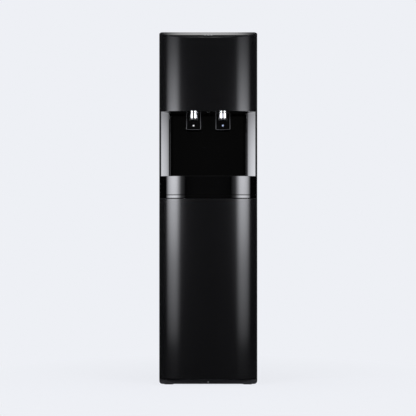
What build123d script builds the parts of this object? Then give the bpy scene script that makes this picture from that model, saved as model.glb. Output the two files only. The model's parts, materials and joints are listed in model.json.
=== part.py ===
# Point-of-use water cooler: a floor-standing steel cabinet with a bowed plastic front,
# a dispensing bay with two lever taps, a pull-out drip tray and a service door.
# Millimetres. X runs to the right seen from the front, the front faces -Y and Z is up.
# The origin lies on the floor, under the centre of the overall box.
from build123d import *
from math import cos, radians, sin, tan
import os

ROUND_SIDES = 24  # facets of small round forms that repeat or stay out of sight

# Overall size
WIDTH = 310.0  # across the two side panels
DEPTH = 345.0  # crown of the front to the rear bumpers
HEIGHT = 1118.0  # floor to the flat of the top cover

# Levels of the front, from the floor up; the door takes what the others leave
FOOT_H = 3.0
PLINTH_H = 14.0
DOOR_GAP = 5.0
SEAM = 2.0
LIP_H = 8.5
FASCIA_H = 58.5
BAY_H = 203.5
UPPER_H = 254.0  # bay's top to the flat of the top cover

# Plan of the bowed front
BOW = 46.0  # how far the crown stands ahead of the side panels
SHOULDER_W = 70.0  # width of the shoulder arc on each side of the flat crown arc
CROWN_DROP = 6.9  # depth that the crown arc loses at its ends
FLANK = 3.0  # straight run behind the shoulder arc
FRONT_CORNER = 3.5
FRONT_WALL = 3.0
PANEL_GAP = 0.5  # between a front moulding and the side panels' flanges
RIB_DEPTH = 8.0
RIB_T = 2.0

# Top cover
TOP_SLOPE = 17.0  # degrees
EDGE_DROP = 18.8  # front edge of the cover below its flat
COVER_WALL = 2.5
COVER_SKIRT = 14.0
COVER_SEAM = 1.2
EDGE_CORNER = 10.0  # rounded long edges at the top and at the foot
LIGHT_W = 5.0
LIGHT_D = 2.4
LIGHT_PITCH = 10.0
LIGHT_SETBACK = 16.0  # behind the cover's front edge
LIGHT_COUNT = 3

# Sheet steel casework
SHEET = 1.2
FLANGE_W = 22.0  # side panels' front flange behind the mouldings
PILLAR_W = 6.0  # the same flange beside the bay
REAR_FLANGE_W = 14.0
FIT = 0.2  # clearance between pieces that stay put
REST = 0.3  # clearance under a piece that rests on another and lifts off
MOVE = 0.4  # clearance beside a piece that slides
PAN_T = 1.5
PAN_UPSTAND = 13.0
BUMPER_T = 12.0
BUMPER_W = 30.0
BUMPER_H = 60.0
BUMPER_INSET = 40.0
BUMPER_LOW = 55.0  # lower bumpers' centres above the plinth
BUMPER_DROP = 75.0  # upper bumpers' centres below the cover's skirt
REAR_INSET = 2.0
VENT_L = 70.0
VENT_W = 4.0
VENT_PITCH = 14.0
VENT_ROWS = 8
VENT_LOW = 22.0  # lowest vent above the plinth
VENT_DROP = 30.0  # highest vent below the cover's skirt
SCREW_END = 25.0  # rear panel's screws from its ends
SCREW_HEAD_R = 4.0
SCREW_HEAD_H = 2.0
PLINTH_SCREW_R = 2.2
FOOT_W = 30.0
FOOT_INSET = 30.0
FOOT_SETBACK = 28.5
PLINTH_SCREW_Z = 9.5

# Snap clips that hold the front mouldings in the side panels' flanges
CLIP_INSET = 12.5
PANEL_CLIP_UP = 25.0  # above the liner's ceiling
PANEL_CLIP_DROP = 45.0  # below the cover's skirt
DOOR_CLIP_END = 60.0  # from the door's ends
CLIP_W = 5.0
CLIP_H = 14.0
CLIP_L = 13.0
CLIP_PLAY = 0.5
CLIP_BOSS = 3.0  # the boss stands this far out round the clip

# Dispensing bay
FLARE_W = 27.0
FLARE_DEPTH = 12.6
FLARE_ANGLE = 20.0  # degrees off the front plane at the mouth
BAY_DRAW = 36.0  # how far each side draws in from the mouth to the back
BAY_DEPTH = 105.0
BAY_CORNER = 12.0
LINER_WALL = 3.0
LEDGE_DROP = 2.5
LENS_W = 8.0
LENS_DEPTH = 3.0
LENS_SETBACK = 66.0  # behind the side panels' front edge

# Drip tray
BASIN_FRONT = 24.5  # crown to the basin's front wall
BASIN_GAP = 5.0  # to the bay's back and sides
BASIN_WALL = 2.5
BASIN_SKID = 3.0
BASIN_CORNER = 15.0
GRILLE_T = 3.0
GRILLE_LEDGE = 3.0
SLOT_MARGIN = 20.0
SLOT_W = 5.0
SLOT_PITCH = 12.0
SLOT_ROWS = 9
SLOT_BRIDGE = 10.0
TRAY_TRAVEL = 160.0

# Taps
TAP_X = 47.0
NOZZLE_SETBACK = 34.0  # nozzle axis behind the side panels' front edge
NOZZLE_R = 14.25
NOZZLE_END = 21.4  # below the bay's ceiling
NOZZLE_BORE = 10.0
NOZZLE_COLLAR_W = 36.0
NOZZLE_COLLAR_T = 3.0
TIP_H = 5.6
TIP_R = 13.2
TIP_BORE_R = 2.9
BRACKET_T = 1.5
BRACKET_X = 85.0
BRACKET_BACK = 37.0  # valve wall behind the levers' faces
BRACKET_WALL_H = 110.0
LEVER_W = 48.4
LEVER_T = 7.0
LEVER_DROP = 58.3  # lever's end below the bay's ceiling
LEVER_SETBACK = 60.0  # lever's face behind the side panels' front edge
LEVER_CORNER = 7.0
LEVER_EDGE = 1.6
LEVER_RIM_W = 2.6
LEVER_RIM_H = 0.8
LEVER_NECK_W = 40.0
LEVER_NECK_T = 4.0
LEVER_SWING = 10.0  # degrees
PIVOT_UP = 17.0  # above the bay's ceiling
PIVOT_BACK = 8.0  # behind the lever's face
PIN_R = 2.0
PIN_PLAY = 0.06
BOSS_R = 5.0
EAR_T = 1.5
EAR_UP = 32.0
ARM_BACK = 18.0
ARM_W = 12.0
DOT_R = 2.75
DOT_T = 0.6
DOT_UP = 15.1  # above the lever's end
PLUNGER_BACK = 14.0  # behind the pivot
PLUNGER_W = 4.0
PLUNGER_NOSE = 1.4
PLUNGER_L = 11.0
PLUNGER_PLAY = 0.08
SWITCH_W = 20.0
SWITCH_D = 11.0
SWITCH_H = 15.0
SWITCH_GAP = 4.5

# Water system
TUBE_R = 3.175
TUBE_PLAY = 0.075
ELBOW = 15.0
ELBOW_T = 11.0
FILTER_X = 50.0
FILTER_SETBACK = 51.0
FILTER_R = 30.0
FILTER_H = 245.0
FILTER_NECK_R = 19.6
FILTER_NECK_H = 16.0
FILTER_LUG_R = 23.6
FILTER_LUG_T = 6.0
FILTER_PLAY = 0.4
FILTER_GRIP_H = 36.0
HEAD_W = 68.0
HEAD_H = 38.0
HEAD_EDGE = 12.0
HEAD_PORT_W = 14.0
HEAD_PORT_L = 9.0
CHANNEL_D = 60.0
CHANNEL_LIP = 18.0
CHANNEL_DROP = 22.0  # below the deck
VALVE_W = 26.0
VALVE_D = 24.0
VALVE_H = 30.0
VALVE_BASE_H = 15.0
VALVE_PORT_R = 6.0
VALVE_PORT_L = 8.0
VALVE_UP = 62.0  # tap valves' base above the bay's ceiling
INLET_INSET = 26.0
INLET_Z = 230.0
INLET_LEN = 15.0
INLET_BODY_R = 8.0
INLET_NUT_R = 11.0
INLET_NUT_T = 4.0
INLET_PROUD = 9.0
INLET_INNER = 20.0
RISER_INSET = 25.0
TEE_UP = 135.0  # above the bay's ceiling
TEE_SIZE = 16.0
TEE_PORT_L = 6.0
DRAIN_INSET = 65.0
DRAIN_Z = 230.0
DRAIN_R = 6.0
DRAIN_CAP_R = 10.0
DRAIN_CAP_T = 8.0
DRAIN_TRAVEL = 30.0

# Cold tank
SHELF_UP = 90.0  # above the tray deck's top
SHELF_FLANGE = 14.0
TANK_WAY = 22.4  # clear way for tubes between the bay's liner and the tank's jacket
LID_UP = 138.0  # insulation lid's top above the bay's ceiling
TANK_PLAY = 0.1
JACKET_T = 25.0
JACKET_CORNER = 24.0
LID_H = 30.0
STUB_R = 4.0
STUB_H = 10.0
TANK_PORT_OFFSET = 30.0

# Refrigeration
COMP_INSET = 80.0
COMP_BACK = 74.0  # axis in front of the rear panel
COMP_R = 61.0
COMP_H = 145.0
COMP_DOME = 16.0
GROMMET_W = 17.0
GROMMET_H = 14.0
GROMMET_REACH = 52.0
COMP_PLATE_T = 2.5
COND_X = 20.0
COND_MARGIN = 19.0  # to the side panel's outer face
COND_H = 122.0
COND_D = 22.0
COND_BACK = 7.0
COND_GROOVES = 9
COND_GROOVE = 4.0
FAN_SIZE = 92.0
FAN_D = 25.0
FAN_BORE_R = 43.5
FAN_LIFT = 18.0
HUB_R = 17.0
HUB_D = 14.0
BLADE_R = 42.0
BLADE_COUNT = 5
BLADE_T = 1.8
BLADE_CHORD = 20.0
BLADE_PITCH = 34.0  # degrees
PIPE_R = 4.0
CAPILLARY_R = 1.6
DRIER_R = 9.0
DRIER_H = 70.0
DRIER_X = -3.0
SUCTION_UP = 60.0  # suction pipe's entry above the tank's shelf

# Electrical pieces
BOX_W = 42.0
BOX_D = 90.0
BOX_H = 120.0
BOX_Z = 330.0
BOX_BACK = 33.5  # box's middle behind the liner
BOX_WALL = 2.0
BOARD_T = 1.6
BOARD_LIFT = 6.0  # rails under the board
RAIL_MARGIN = 4.0  # board's edge to its rails
COMPONENT_MARGIN = 8.0  # board's edge to its components
TRANSFORMER_W = 30.0
TRANSFORMER_L = 32.0
TRANSFORMER_H = 22.0
RELAY_W = 20.0
RELAY_H = 14.0
CONNECTOR_L = 22.0
CONNECTOR_H = 10.0
SOCKET_INSET = 50.0
SOCKET_Z = 330.0
SOCKET_W = 24.6
SOCKET_H = 16.6
SOCKET_DEPTH = 15.0
SOCKET_BODY = 22.0
BEZEL = 4.0
BEZEL_T = 2.0
ROCKER_Z = 375.0
ROCKER_R = 9.0
ROCKER_W = 22.0
ROCKER_PIN_R = 1.5
ROCKER_PLAY = 0.35
ROCKER_SWING = 14.0  # degrees
DIAL_Z = 420.0
DIAL_R = 11.0
DIAL_H = 9.0
DIAL_SHAFT_R = 3.0
LOOM_W = 10.0
LOOM_T = 6.0
LOOM_BEND = 10.0
LOOM_INSET = 43.0

# Levels and planes worked out from the sizes above
PLINTH_TOP = FOOT_H + PLINTH_H
DOOR_BOTTOM = PLINTH_TOP + DOOR_GAP
BAY_TOP = HEIGHT - UPPER_H
FASCIA_TOP = BAY_TOP - BAY_H
FASCIA_BOTTOM = FASCIA_TOP - FASCIA_H
DECK_TOP = FASCIA_BOTTOM - SEAM
DECK_BOTTOM = DECK_TOP - LIP_H
DOOR_TOP = DECK_BOTTOM - SEAM
CEILING = BAY_TOP + FRONT_WALL
CEILING_TOP = CEILING + LINER_WALL
SKIRT_BOTTOM = HEIGHT - COVER_SKIRT

FRONT_Y = -DEPTH / 2
FACE_Y = FRONT_Y + BOW
BACK_Y = DEPTH / 2 - BUMPER_T
REAR_FLANGE_Y = BACK_Y - SHEET
SIDE_X = WIDTH / 2
INNER_X = SIDE_X - SHEET
BAY_BACK_Y = FACE_Y + BAY_DEPTH
LINER_BACK_Y = BAY_BACK_Y + LINER_WALL

CROWN_X = SIDE_X - SHOULDER_W
MOUTH_X = SIDE_X - PILLAR_W
THROAT_X = MOUTH_X - FLARE_W
BAY_REAR_X = MOUTH_X - BAY_DRAW
BASIN_X = BAY_REAR_X - BASIN_GAP
SLOT_L = BASIN_X - SLOT_MARGIN
CLIP_X = SIDE_X - CLIP_INSET
INLET_X = INLET_INSET - SIDE_X
DRAIN_X = DRAIN_INSET - SIDE_X
RISER_X = SIDE_X - RISER_INSET
SOCKET_X = SIDE_X - SOCKET_INSET
LOOM_X = SIDE_X - LOOM_INSET
BOX_Y = LINER_BACK_Y + BOX_BACK

TAPS = (-TAP_X, TAP_X)
NOZZLE_Y = FACE_Y + NOZZLE_SETBACK
LEVER_Y = FACE_Y + LEVER_SETBACK
PIVOT_Y = LEVER_Y + PIVOT_BACK
PIVOT_Z = CEILING + PIVOT_UP
BRACKET_TOP = CEILING_TOP + BRACKET_T
BRACKET_WALL_Y = LEVER_Y + BRACKET_BACK


def block(x, y, z):
    """Box between a low and a high limit along each axis."""
    size = Box(x[1] - x[0], y[1] - y[0], z[1] - z[0])
    return Pos(sum(x) / 2, sum(y) / 2, sum(z) / 2) * size


def round_corners(shape, amount):
    """Chamfer the upright edges of a block."""
    return chamfer(shape.edges().filter_by(Axis.Z), amount)


def rod(radius, start, end):
    """Round bar from one point to another."""
    run = Vector(*end) - Vector(*start)
    return extrude(Plane(origin=start, z_dir=run) * Circle(radius), run.length)


def bar(sides, radius, start, end):
    """Bar with flat sides from one point to another, measured across its flats."""
    run = Vector(*end) - Vector(*start)
    section = RegularPolygon(radius, sides, major_radius=False)
    return extrude(Plane(origin=start, z_dir=run) * section, run.length)


def swept(section, path, start, ahead, transition=Transition.TRANSFORMED):
    """A flat section carried along a path."""
    plane = Plane(origin=start, z_dir=Vector(*ahead) - Vector(*start))
    return sweep(plane * section, path=path, transition=transition)


def steps(points):
    """Unit vectors along each straight run between points."""
    return [(Vector(*b) - Vector(*a)).normalized() for a, b in zip(points, points[1:])]


def tube_runs(points):
    """Straight tubes between the elbows that stand at the inner points."""
    tubes = Part()
    last = len(points) - 2
    for i, way in enumerate(steps(points)):
        start = Vector(*points[i]) + way * (ELBOW / 2 if i else 0)
        end = Vector(*points[i + 1]) - way * (ELBOW / 2 if i < last else 0)
        tubes += bar(8, TUBE_R, tuple(start), tuple(end))
    return tubes


def elbows(points):
    """Push-fit elbows, chamfered on the outer corner, at the inner points."""
    shapes = Part()
    ways = steps(points)
    half = ELBOW / 2
    for corner, back, ahead in zip(points[1:], ways, ways[1:]):
        plane = Plane(origin=corner, x_dir=-back, z_dir=ahead.cross(back))
        outline = Polyline(
            (half, -half), (half, half), (-half, half), (-half, 0), (0, -half), close=True
        )
        shapes += extrude(plane * make_face(outline), ELBOW_T / 2, both=True)
    return shapes


def dome(radius, height, base):
    """Low many-sided dome on the vertical axis, from a level up."""
    section = RegularPolygon(radius, ROUND_SIDES, major_radius=False)
    return extrude(Plane.XY.offset(base) * section, height, taper=45)


def mirrored_pair(shape):
    """A piece and its mirror image on the other side of the centre plane."""
    return shape + mirror(shape, Plane.YZ)


def save(name, shape):
    """Write one named piece, which may be a group of separate solids."""
    shape.label = name
    export_step(shape, os.path.join("parts", name + ".step"))


# Shared outlines


def bow_plan(rear_y):
    """Plan of the cabinet: the bowed front, closed by a straight line at rear_y."""
    crown_y = FRONT_Y + CROWN_DROP
    flank_y = FACE_Y - FLANK
    crown = ThreePointArc((-CROWN_X, crown_y), (0, FRONT_Y), (CROWN_X, crown_y))
    right = TangentArc((CROWN_X, crown_y), (SIDE_X, flank_y), tangent=crown % 1)
    left = mirror(right, Plane.YZ)
    rear = Polyline((SIDE_X, flank_y), (SIDE_X, rear_y), (-SIDE_X, rear_y), (-SIDE_X, flank_y))
    plan = make_face(crown + right + left + rear)
    corners = plan.vertices().filter_by_position(Axis.Y, flank_y - 0.01, flank_y + 0.01)
    return fillet(corners, FRONT_CORNER)


def bow_prism(rear_y, z, inset=0.0):
    """Upright prism on the plan of the cabinet, between two levels."""
    plan = bow_plan(rear_y)
    if inset:
        plan = offset(plan, -inset)
    return extrude(Plane.XY.offset(z[0]) * plan, z[1] - z[0])


def front_outline(inset=0.0):
    """Cabinet seen from the front: a tall rectangle with rounded corners."""
    height = HEIGHT - FOOT_H - 2 * inset
    outline = RectangleRounded(WIDTH - 2 * inset, height, EDGE_CORNER - inset)
    return Pos(0, (HEIGHT + FOOT_H) / 2) * outline


def outline_prism(y, inset=0.0):
    """The front view carried back from one depth to another."""
    return extrude(Plane.XZ.offset(-y[1]) * front_outline(inset), y[1] - y[0])


def slope_z(y):
    """Height of the sloped part of the top cover at a depth."""
    return HEIGHT - EDGE_DROP + (y - FRONT_Y) * tan(radians(TOP_SLOPE))


def side_prism(points):
    """Side view, given as (depth, height) points, carried across the cabinet."""
    return extrude(Plane.YZ * make_face(Polyline(*points, close=True)), SIDE_X + 1, both=True)


def front_moulding(z, floor=True, roof=True):
    """Bowed shell of the front, open at the back, between two levels."""
    hollow = (z[0] + (FRONT_WALL if floor else -1), z[1] - (FRONT_WALL if roof else -1))
    return bow_prism(FACE_Y - PANEL_GAP, z) - bow_prism(FACE_Y + BOW, hollow, FRONT_WALL)


def cross_rib(level):
    """Shallow rib that stiffens a front moulding at a level."""
    z = (level, level + RIB_T)
    ring = bow_prism(FACE_Y + BOW, z, FRONT_WALL) - bow_prism(FACE_Y + BOW, z, FRONT_WALL + RIB_DEPTH)
    return ring & bow_prism(FACE_Y - PANEL_GAP, z)


def clips(levels):
    """Snap clips on bosses, in pairs, at the given levels."""
    rear_y = FACE_Y - PANEL_GAP
    half_w = CLIP_W / 2
    half_h = CLIP_H / 2
    shapes = Part()
    for z in levels:
        tall = (z - half_h - CLIP_BOSS, z + half_h + CLIP_BOSS)
        wide = (CLIP_X - half_w - CLIP_BOSS, CLIP_X + half_w + CLIP_BOSS)
        boss = block(wide, (rear_y - BOW / 2, rear_y), tall)
        boss &= bow_prism(FACE_Y + BOW, tall, FRONT_WALL / 2)
        narrow = (CLIP_X - half_w, CLIP_X + half_w)
        tongue = block(narrow, (rear_y - 1, rear_y + CLIP_L), (z - half_h, z + half_h))
        tongue = chamfer(tongue.edges().filter_by(Axis.Z).group_by(Axis.Y)[-1], half_w / 2)
        shapes += mirrored_pair(boss + tongue)
    return shapes


PANEL_CLIPS = (CEILING_TOP + PANEL_CLIP_UP, SKIRT_BOTTOM - PANEL_CLIP_DROP)
DOOR_CLIPS = (DOOR_BOTTOM + DOOR_CLIP_END, DOOR_TOP - DOOR_CLIP_END)


# Steel casework


def base_pan():
    """Folded base with the plinth at its front and upstands inside the side panels."""
    levels = block((-SIDE_X, SIDE_X), (FACE_Y, REAR_FLANGE_Y), (FOOT_H, PLINTH_TOP))
    hollow = outline_prism((FACE_Y + PAN_T, REAR_FLANGE_Y - PAN_T), PAN_T)
    pan = (outline_prism((FACE_Y, REAR_FLANGE_Y)) & levels) - hollow
    outer = INNER_X - FIT
    upstand = block(
        (outer - PAN_T, outer),
        (FACE_Y + 24, REAR_FLANGE_Y - REAR_FLANGE_W - 10),
        (FOOT_H + EDGE_CORNER, PLINTH_TOP + PAN_UPSTAND),
    )
    bridge = block(
        (outer - PAN_T, SIDE_X - PAN_T + 0.1),
        (FACE_Y + 24, REAR_FLANGE_Y - REAR_FLANGE_W - 10),
        (FOOT_H + EDGE_CORNER, PLINTH_TOP - 0.5),
    )
    return pan + mirrored_pair(upstand + bridge)


def rubber_feet():
    """Four pads under the base pan."""
    feet = Part()
    x_foot = SIDE_X - FOOT_INSET
    for x in (-x_foot, x_foot):
        for y in (FACE_Y + FOOT_SETBACK, BACK_Y - FOOT_SETBACK):
            feet += Pos(x, y, FOOT_H / 2) * round_corners(Box(FOOT_W, FOOT_W, FOOT_H), FOOT_W / 4)
    return feet


def side_panel():
    """Right-hand panel: one folded sheet with a front and a rear flange."""
    z = (PLINTH_TOP + FIT, SKIRT_BOTTOM - FIT)
    bay = (DECK_BOTTOM - FIT, CEILING_TOP + FIT)
    panel = block((INNER_X, SIDE_X), (FACE_Y, REAR_FLANGE_Y), z)
    panel += block((SIDE_X - FLANGE_W, SIDE_X), (FACE_Y, FACE_Y + SHEET), z)
    panel += block((SIDE_X - REAR_FLANGE_W, SIDE_X), (REAR_FLANGE_Y - SHEET, REAR_FLANGE_Y), z)
    panel -= block((SIDE_X - FLANGE_W - 1, SIDE_X - PILLAR_W), (FACE_Y - 1, FACE_Y + SHEET + 1), bay)
    for level in (*PANEL_CLIPS, *DOOR_CLIPS):
        half_w = CLIP_W / 2 + CLIP_PLAY
        half_h = CLIP_H / 2 + CLIP_PLAY
        slot = block((CLIP_X - half_w, CLIP_X + half_w), (FACE_Y - 1, FACE_Y + SHEET + 1), (-half_h, half_h))
        panel -= Pos(0, 0, level) * slot
    return panel


def rear_screw_places():
    """Where the rear panel is screwed to the side panels' flanges."""
    x = SIDE_X - REAR_FLANGE_W / 2
    low = PLINTH_TOP + SCREW_END
    high = SKIRT_BOTTOM - SCREW_END
    return [(side * x, level) for side in (-1, 1) for level in (low, (low + high) / 2, high)]


def rear_panel():
    """Flat sheet with two fields of vents and cut-outs for what passes through it."""
    y = (BACK_Y - SHEET, BACK_Y)
    through = (y[0] - 1, y[1] + 1)
    half = SIDE_X - REAR_INSET
    shaft = DIAL_SHAFT_R + MOVE
    panel = block((-half, half), y, (PLINTH_TOP + FIT, SKIRT_BOTTOM - FIT))
    vent = block((-VENT_L / 2, VENT_L / 2), through, (-VENT_W / 2, VENT_W / 2))
    for row in range(VENT_ROWS):
        rise = row * VENT_PITCH
        for x in (COMP_X, FAN_X):
            panel -= Pos(x, 0, PLINTH_TOP + VENT_LOW + rise) * vent
        panel -= Pos(0, 0, SKIRT_BOTTOM - VENT_DROP - rise) * vent
    panel -= rod(INLET_BODY_R, (INLET_X, through[0], INLET_Z), (INLET_X, through[1], INLET_Z))
    panel -= bar(6, DRAIN_R, (DRAIN_X, through[0], DRAIN_Z), (DRAIN_X, through[1], DRAIN_Z))
    panel -= block((SOCKET_X - shaft, SOCKET_X + shaft), through, (DIAL_Z - shaft, DIAL_Z + shaft))
    half_w = SOCKET_W / 2 + BEZEL / 2
    half_h = SOCKET_H / 2 + BEZEL / 2
    panel -= block((SOCKET_X - half_w, SOCKET_X + half_w), through, (SOCKET_Z - half_h, SOCKET_Z + half_h))
    half_h = ROCKER_R + ROCKER_PLAY + BEZEL / 2
    panel -= block((SOCKET_X - half_w, SOCKET_X + half_w), through, (ROCKER_Z - half_h, ROCKER_Z + half_h))
    return panel


def fasteners():
    """Rear panel screws and the plinth screw."""
    screws = Part()
    for x, level in rear_screw_places():
        screws += bar(6, SCREW_HEAD_R, (x, BACK_Y, level), (x, BACK_Y + SCREW_HEAD_H, level))
    level = PLINTH_SCREW_Z
    return screws + bar(6, PLINTH_SCREW_R, (0, FACE_Y - SCREW_HEAD_H / 4, level), (0, FACE_Y, level))


def rear_bumpers():
    """Pads that keep the cabinet off the wall behind it."""
    pads = Part()
    x_pad = SIDE_X - BUMPER_INSET
    for x in (-x_pad, x_pad):
        for z in (PLINTH_TOP + BUMPER_LOW, SKIRT_BOTTOM - BUMPER_DROP):
            pad = Pos(x, BACK_Y + BUMPER_T / 2, z) * Box(BUMPER_W, BUMPER_T, BUMPER_H)
            pads += round_corners(pad, BUMPER_T / 4)
    return pads


def tank_shelf():
    """Folded shelf between the side panels that carries the cold tank."""
    x = INNER_X - FIT
    y = (LINER_BACK_Y + 24, REAR_FLANGE_Y - SHEET - FIT)
    top = shelf_top()
    shelf = block((-x, x), y, (top - SHEET, top))
    shelf += block((-x, x), (y[0], y[0] + SHEET), (top - SHELF_FLANGE, top))
    shelf += mirrored_pair(block((x - SHEET, x), y, (top - SHELF_FLANGE, top)))
    for cx, cy, reach in shelf_holes():
        shelf -= block((cx - reach, cx + reach), (cy - reach, cy + reach), (top - SHEET - 1, top + 1))
    return shelf


def shelf_top():
    """Level of the cold tank's shelf."""
    return DECK_TOP + SHELF_UP


def shelf_holes():
    """Square holes where pipes and the loom pass the shelf: x, y and half width."""
    return [(SUCTION_X, SUCTION_Y, 9.0), (DRIER_X, DRIER_Y, 6.0), (LOOM_X, BOX_Y, 9.0)]


# Front mouldings


def upper_front_panel():
    """Bowed panel over the bay, cut off along the slope of the top cover."""
    gap = COVER_WALL + COVER_SEAM
    ahead = FRONT_Y - 10
    outer = bow_prism(FACE_Y - PANEL_GAP, (BAY_TOP, HEIGHT))
    hollow = bow_prism(FACE_Y + BOW, (BAY_TOP + FRONT_WALL, HEIGHT), FRONT_WALL)
    roof = [
        (ahead, slope_z(ahead) - gap - FRONT_WALL),
        (FACE_Y + BOW, slope_z(FACE_Y + BOW) - gap - FRONT_WALL),
        (FACE_Y + BOW, BAY_TOP),
        (ahead, BAY_TOP),
    ]
    under_slope = [
        (ahead, slope_z(ahead) - gap),
        (FACE_Y + BOW, slope_z(FACE_Y + BOW) - gap),
        (FACE_Y + BOW, BAY_TOP - 1),
        (ahead, BAY_TOP - 1),
    ]
    panel = outer & side_prism(under_slope) & outline_prism((ahead, FACE_Y))
    panel -= hollow & side_prism(roof)
    return panel + clips(PANEL_CLIPS)


def cover_form(inset, bottom, front_y):
    """Block under the slope and flat of the top cover, drawn in by an inset."""
    flat_y = FRONT_Y + EDGE_DROP / tan(radians(TOP_SLOPE))
    ahead = FRONT_Y - 10
    side = [
        (ahead, slope_z(ahead) - inset),
        (flat_y, HEIGHT - inset),
        (BACK_Y - inset, HEIGHT - inset),
        (BACK_Y - inset, bottom),
        (front_y, bottom),
        (front_y, slope_z(front_y) - COVER_WALL),
        (ahead, slope_z(ahead) - COVER_WALL),
    ]
    if inset:
        side = [(front_y, slope_z(front_y) - inset), *side[1:5]]
    plan = bow_prism(BACK_Y, (BAY_TOP, HEIGHT), inset)
    return plan & side_prism(side) & outline_prism((ahead, BACK_Y), inset)


def light_places():
    """Centres of the indicator lights on the slope."""
    y = FRONT_Y + LIGHT_SETBACK
    middle = (LIGHT_COUNT - 1) / 2
    return [((i - middle) * LIGHT_PITCH, y, slope_z(y)) for i in range(LIGHT_COUNT)]


def light_block(width, depth, place, below, above):
    """Rectangular bar square to the slope at a light's place."""
    tilt = radians(TOP_SLOPE)
    normal = Vector(0, -sin(tilt), cos(tilt))
    plane = Plane(origin=Vector(*place) - normal * below, x_dir=(1, 0, 0), z_dir=normal)
    return extrude(plane * Rectangle(width, depth), below + above)


def top_cover():
    """Cap over the cabinet: a sloped front plate, a flat and a skirt."""
    outer = cover_form(0.0, SKIRT_BOTTOM, FACE_Y)
    cover = outer - cover_form(COVER_WALL, SKIRT_BOTTOM - 1, FACE_Y + COVER_WALL)
    for place in light_places():
        cover -= light_block(LIGHT_W, LIGHT_D, place, COVER_WALL * 2, COVER_WALL)
    return cover


def lamp_lenses():
    """Lenses set into the slope of the top cover, and the lamp's lens in the bay."""
    lights = Part()
    for place in light_places():
        lights += light_block(LIGHT_W, LIGHT_D, place, COVER_WALL - COVER_SEAM / 4, 0.2)
    return lights + lamp_window((CEILING - LENS_DEPTH, CEILING_TOP))


def lamp_window(z):
    """Square bar where the lamp's lens passes the bay's ceiling."""
    y = FACE_Y + LENS_SETBACK
    return block((-LENS_W / 2, LENS_W / 2), (y - LENS_W / 2, y + LENS_W / 2), z)


def bay_plan():
    """Plan of the bay: a flared mouth, side walls that draw in and a flat back."""
    tilt = radians(FLARE_ANGLE)
    mouth = (MOUTH_X, FACE_Y)
    throat = (THROAT_X, FACE_Y + FLARE_DEPTH)
    heel = (BAY_REAR_X, BAY_BACK_Y)
    flare = TangentArc(mouth, throat, tangent=(-cos(tilt), sin(tilt)))
    wall = Line(throat, heel)
    half = flare + wall
    back = Line(heel, (-BAY_REAR_X, BAY_BACK_Y))
    front = Line(mouth, (-MOUTH_X, FACE_Y))
    plan = make_face(half + mirror(half, Plane.YZ) + back + front)
    corners = plan.vertices().filter_by_position(Axis.Y, FACE_Y + 1, BAY_BACK_Y + 1)
    return fillet(corners, BAY_CORNER)


def bay_liner():
    """Gloss moulding that lines the bay, with a holed ceiling and side ledges."""
    void = bay_plan()
    inside = Pos(0, (FACE_Y + LINER_BACK_Y) / 2) * Rectangle(2 * (MOUTH_X - FIT), LINER_BACK_Y - FACE_Y)
    outer = offset(void, LINER_WALL) & inside
    liner = extrude(Plane.XY.offset(DECK_TOP) * (outer - void), CEILING - DECK_TOP)
    liner += extrude(Plane.XY.offset(CEILING) * outer, LINER_WALL)
    tray_gap = Rectangle(2 * (BASIN_X + 1), 2 * DEPTH)
    ledge_z = FASCIA_TOP - LEDGE_DROP - LINER_WALL
    liner += extrude(Plane.XY.offset(ledge_z) * (void - tray_gap), LINER_WALL)
    low = CEILING - 1
    high = CEILING_TOP + 1
    half = LEVER_W / 2 + 1
    for x in TAPS:
        liner -= bar(8, NOZZLE_R + MOVE, (x, NOZZLE_Y, low), (x, NOZZLE_Y, high))
        liner -= block((x - half, x + half), lever_slot_y(), (low, high))
    return liner - lamp_window((low, high))


def lever_slot_y():
    """Front and rear edges of the slot that a lever swings in."""
    swing = (PIVOT_UP + LEVER_NECK_T) * sin(radians(LEVER_SWING))
    return LEVER_Y - 2 * MOVE, LEVER_Y + LEVER_T + swing + MOVE


def tray_deck():
    """Deck that the tray runs on, with its lip showing under the tray's front."""
    plate = (DECK_TOP - FRONT_WALL, DECK_TOP)
    deck = front_moulding((DECK_BOTTOM, DECK_TOP), floor=False)
    neck = SIDE_X - PILLAR_W - FIT
    behind = FACE_Y + SHEET + FIT
    rear = LINER_BACK_Y + 2
    deck += block((-neck, neck), (FACE_Y - PANEL_GAP - 1, behind + 1), plate)
    deck += block((-INNER_X + FIT, INNER_X - FIT), (behind, rear), plate)
    deck += block((-INNER_X + FIT, INNER_X - FIT), (rear - RIB_T, rear), (DECK_BOTTOM, DECK_TOP))
    return deck


def service_door():
    """Bowed lower panel that pulls off its clips for filter changes."""
    door = front_moulding((DOOR_BOTTOM, DOOR_TOP))
    return door + cross_rib((DOOR_BOTTOM + DOOR_TOP) / 2) + clips(DOOR_CLIPS)


# Drip tray


def basin_plan():
    """Plan of the basin, with large corners inside the bowed front."""
    front = FRONT_Y + BASIN_FRONT
    rear = BAY_BACK_Y - BASIN_GAP
    plan = Pos(0, (front + rear) / 2) * Rectangle(2 * BASIN_X, rear - front)
    return chamfer(plan.vertices().group_by(Axis.Y)[0], BASIN_CORNER)


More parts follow.
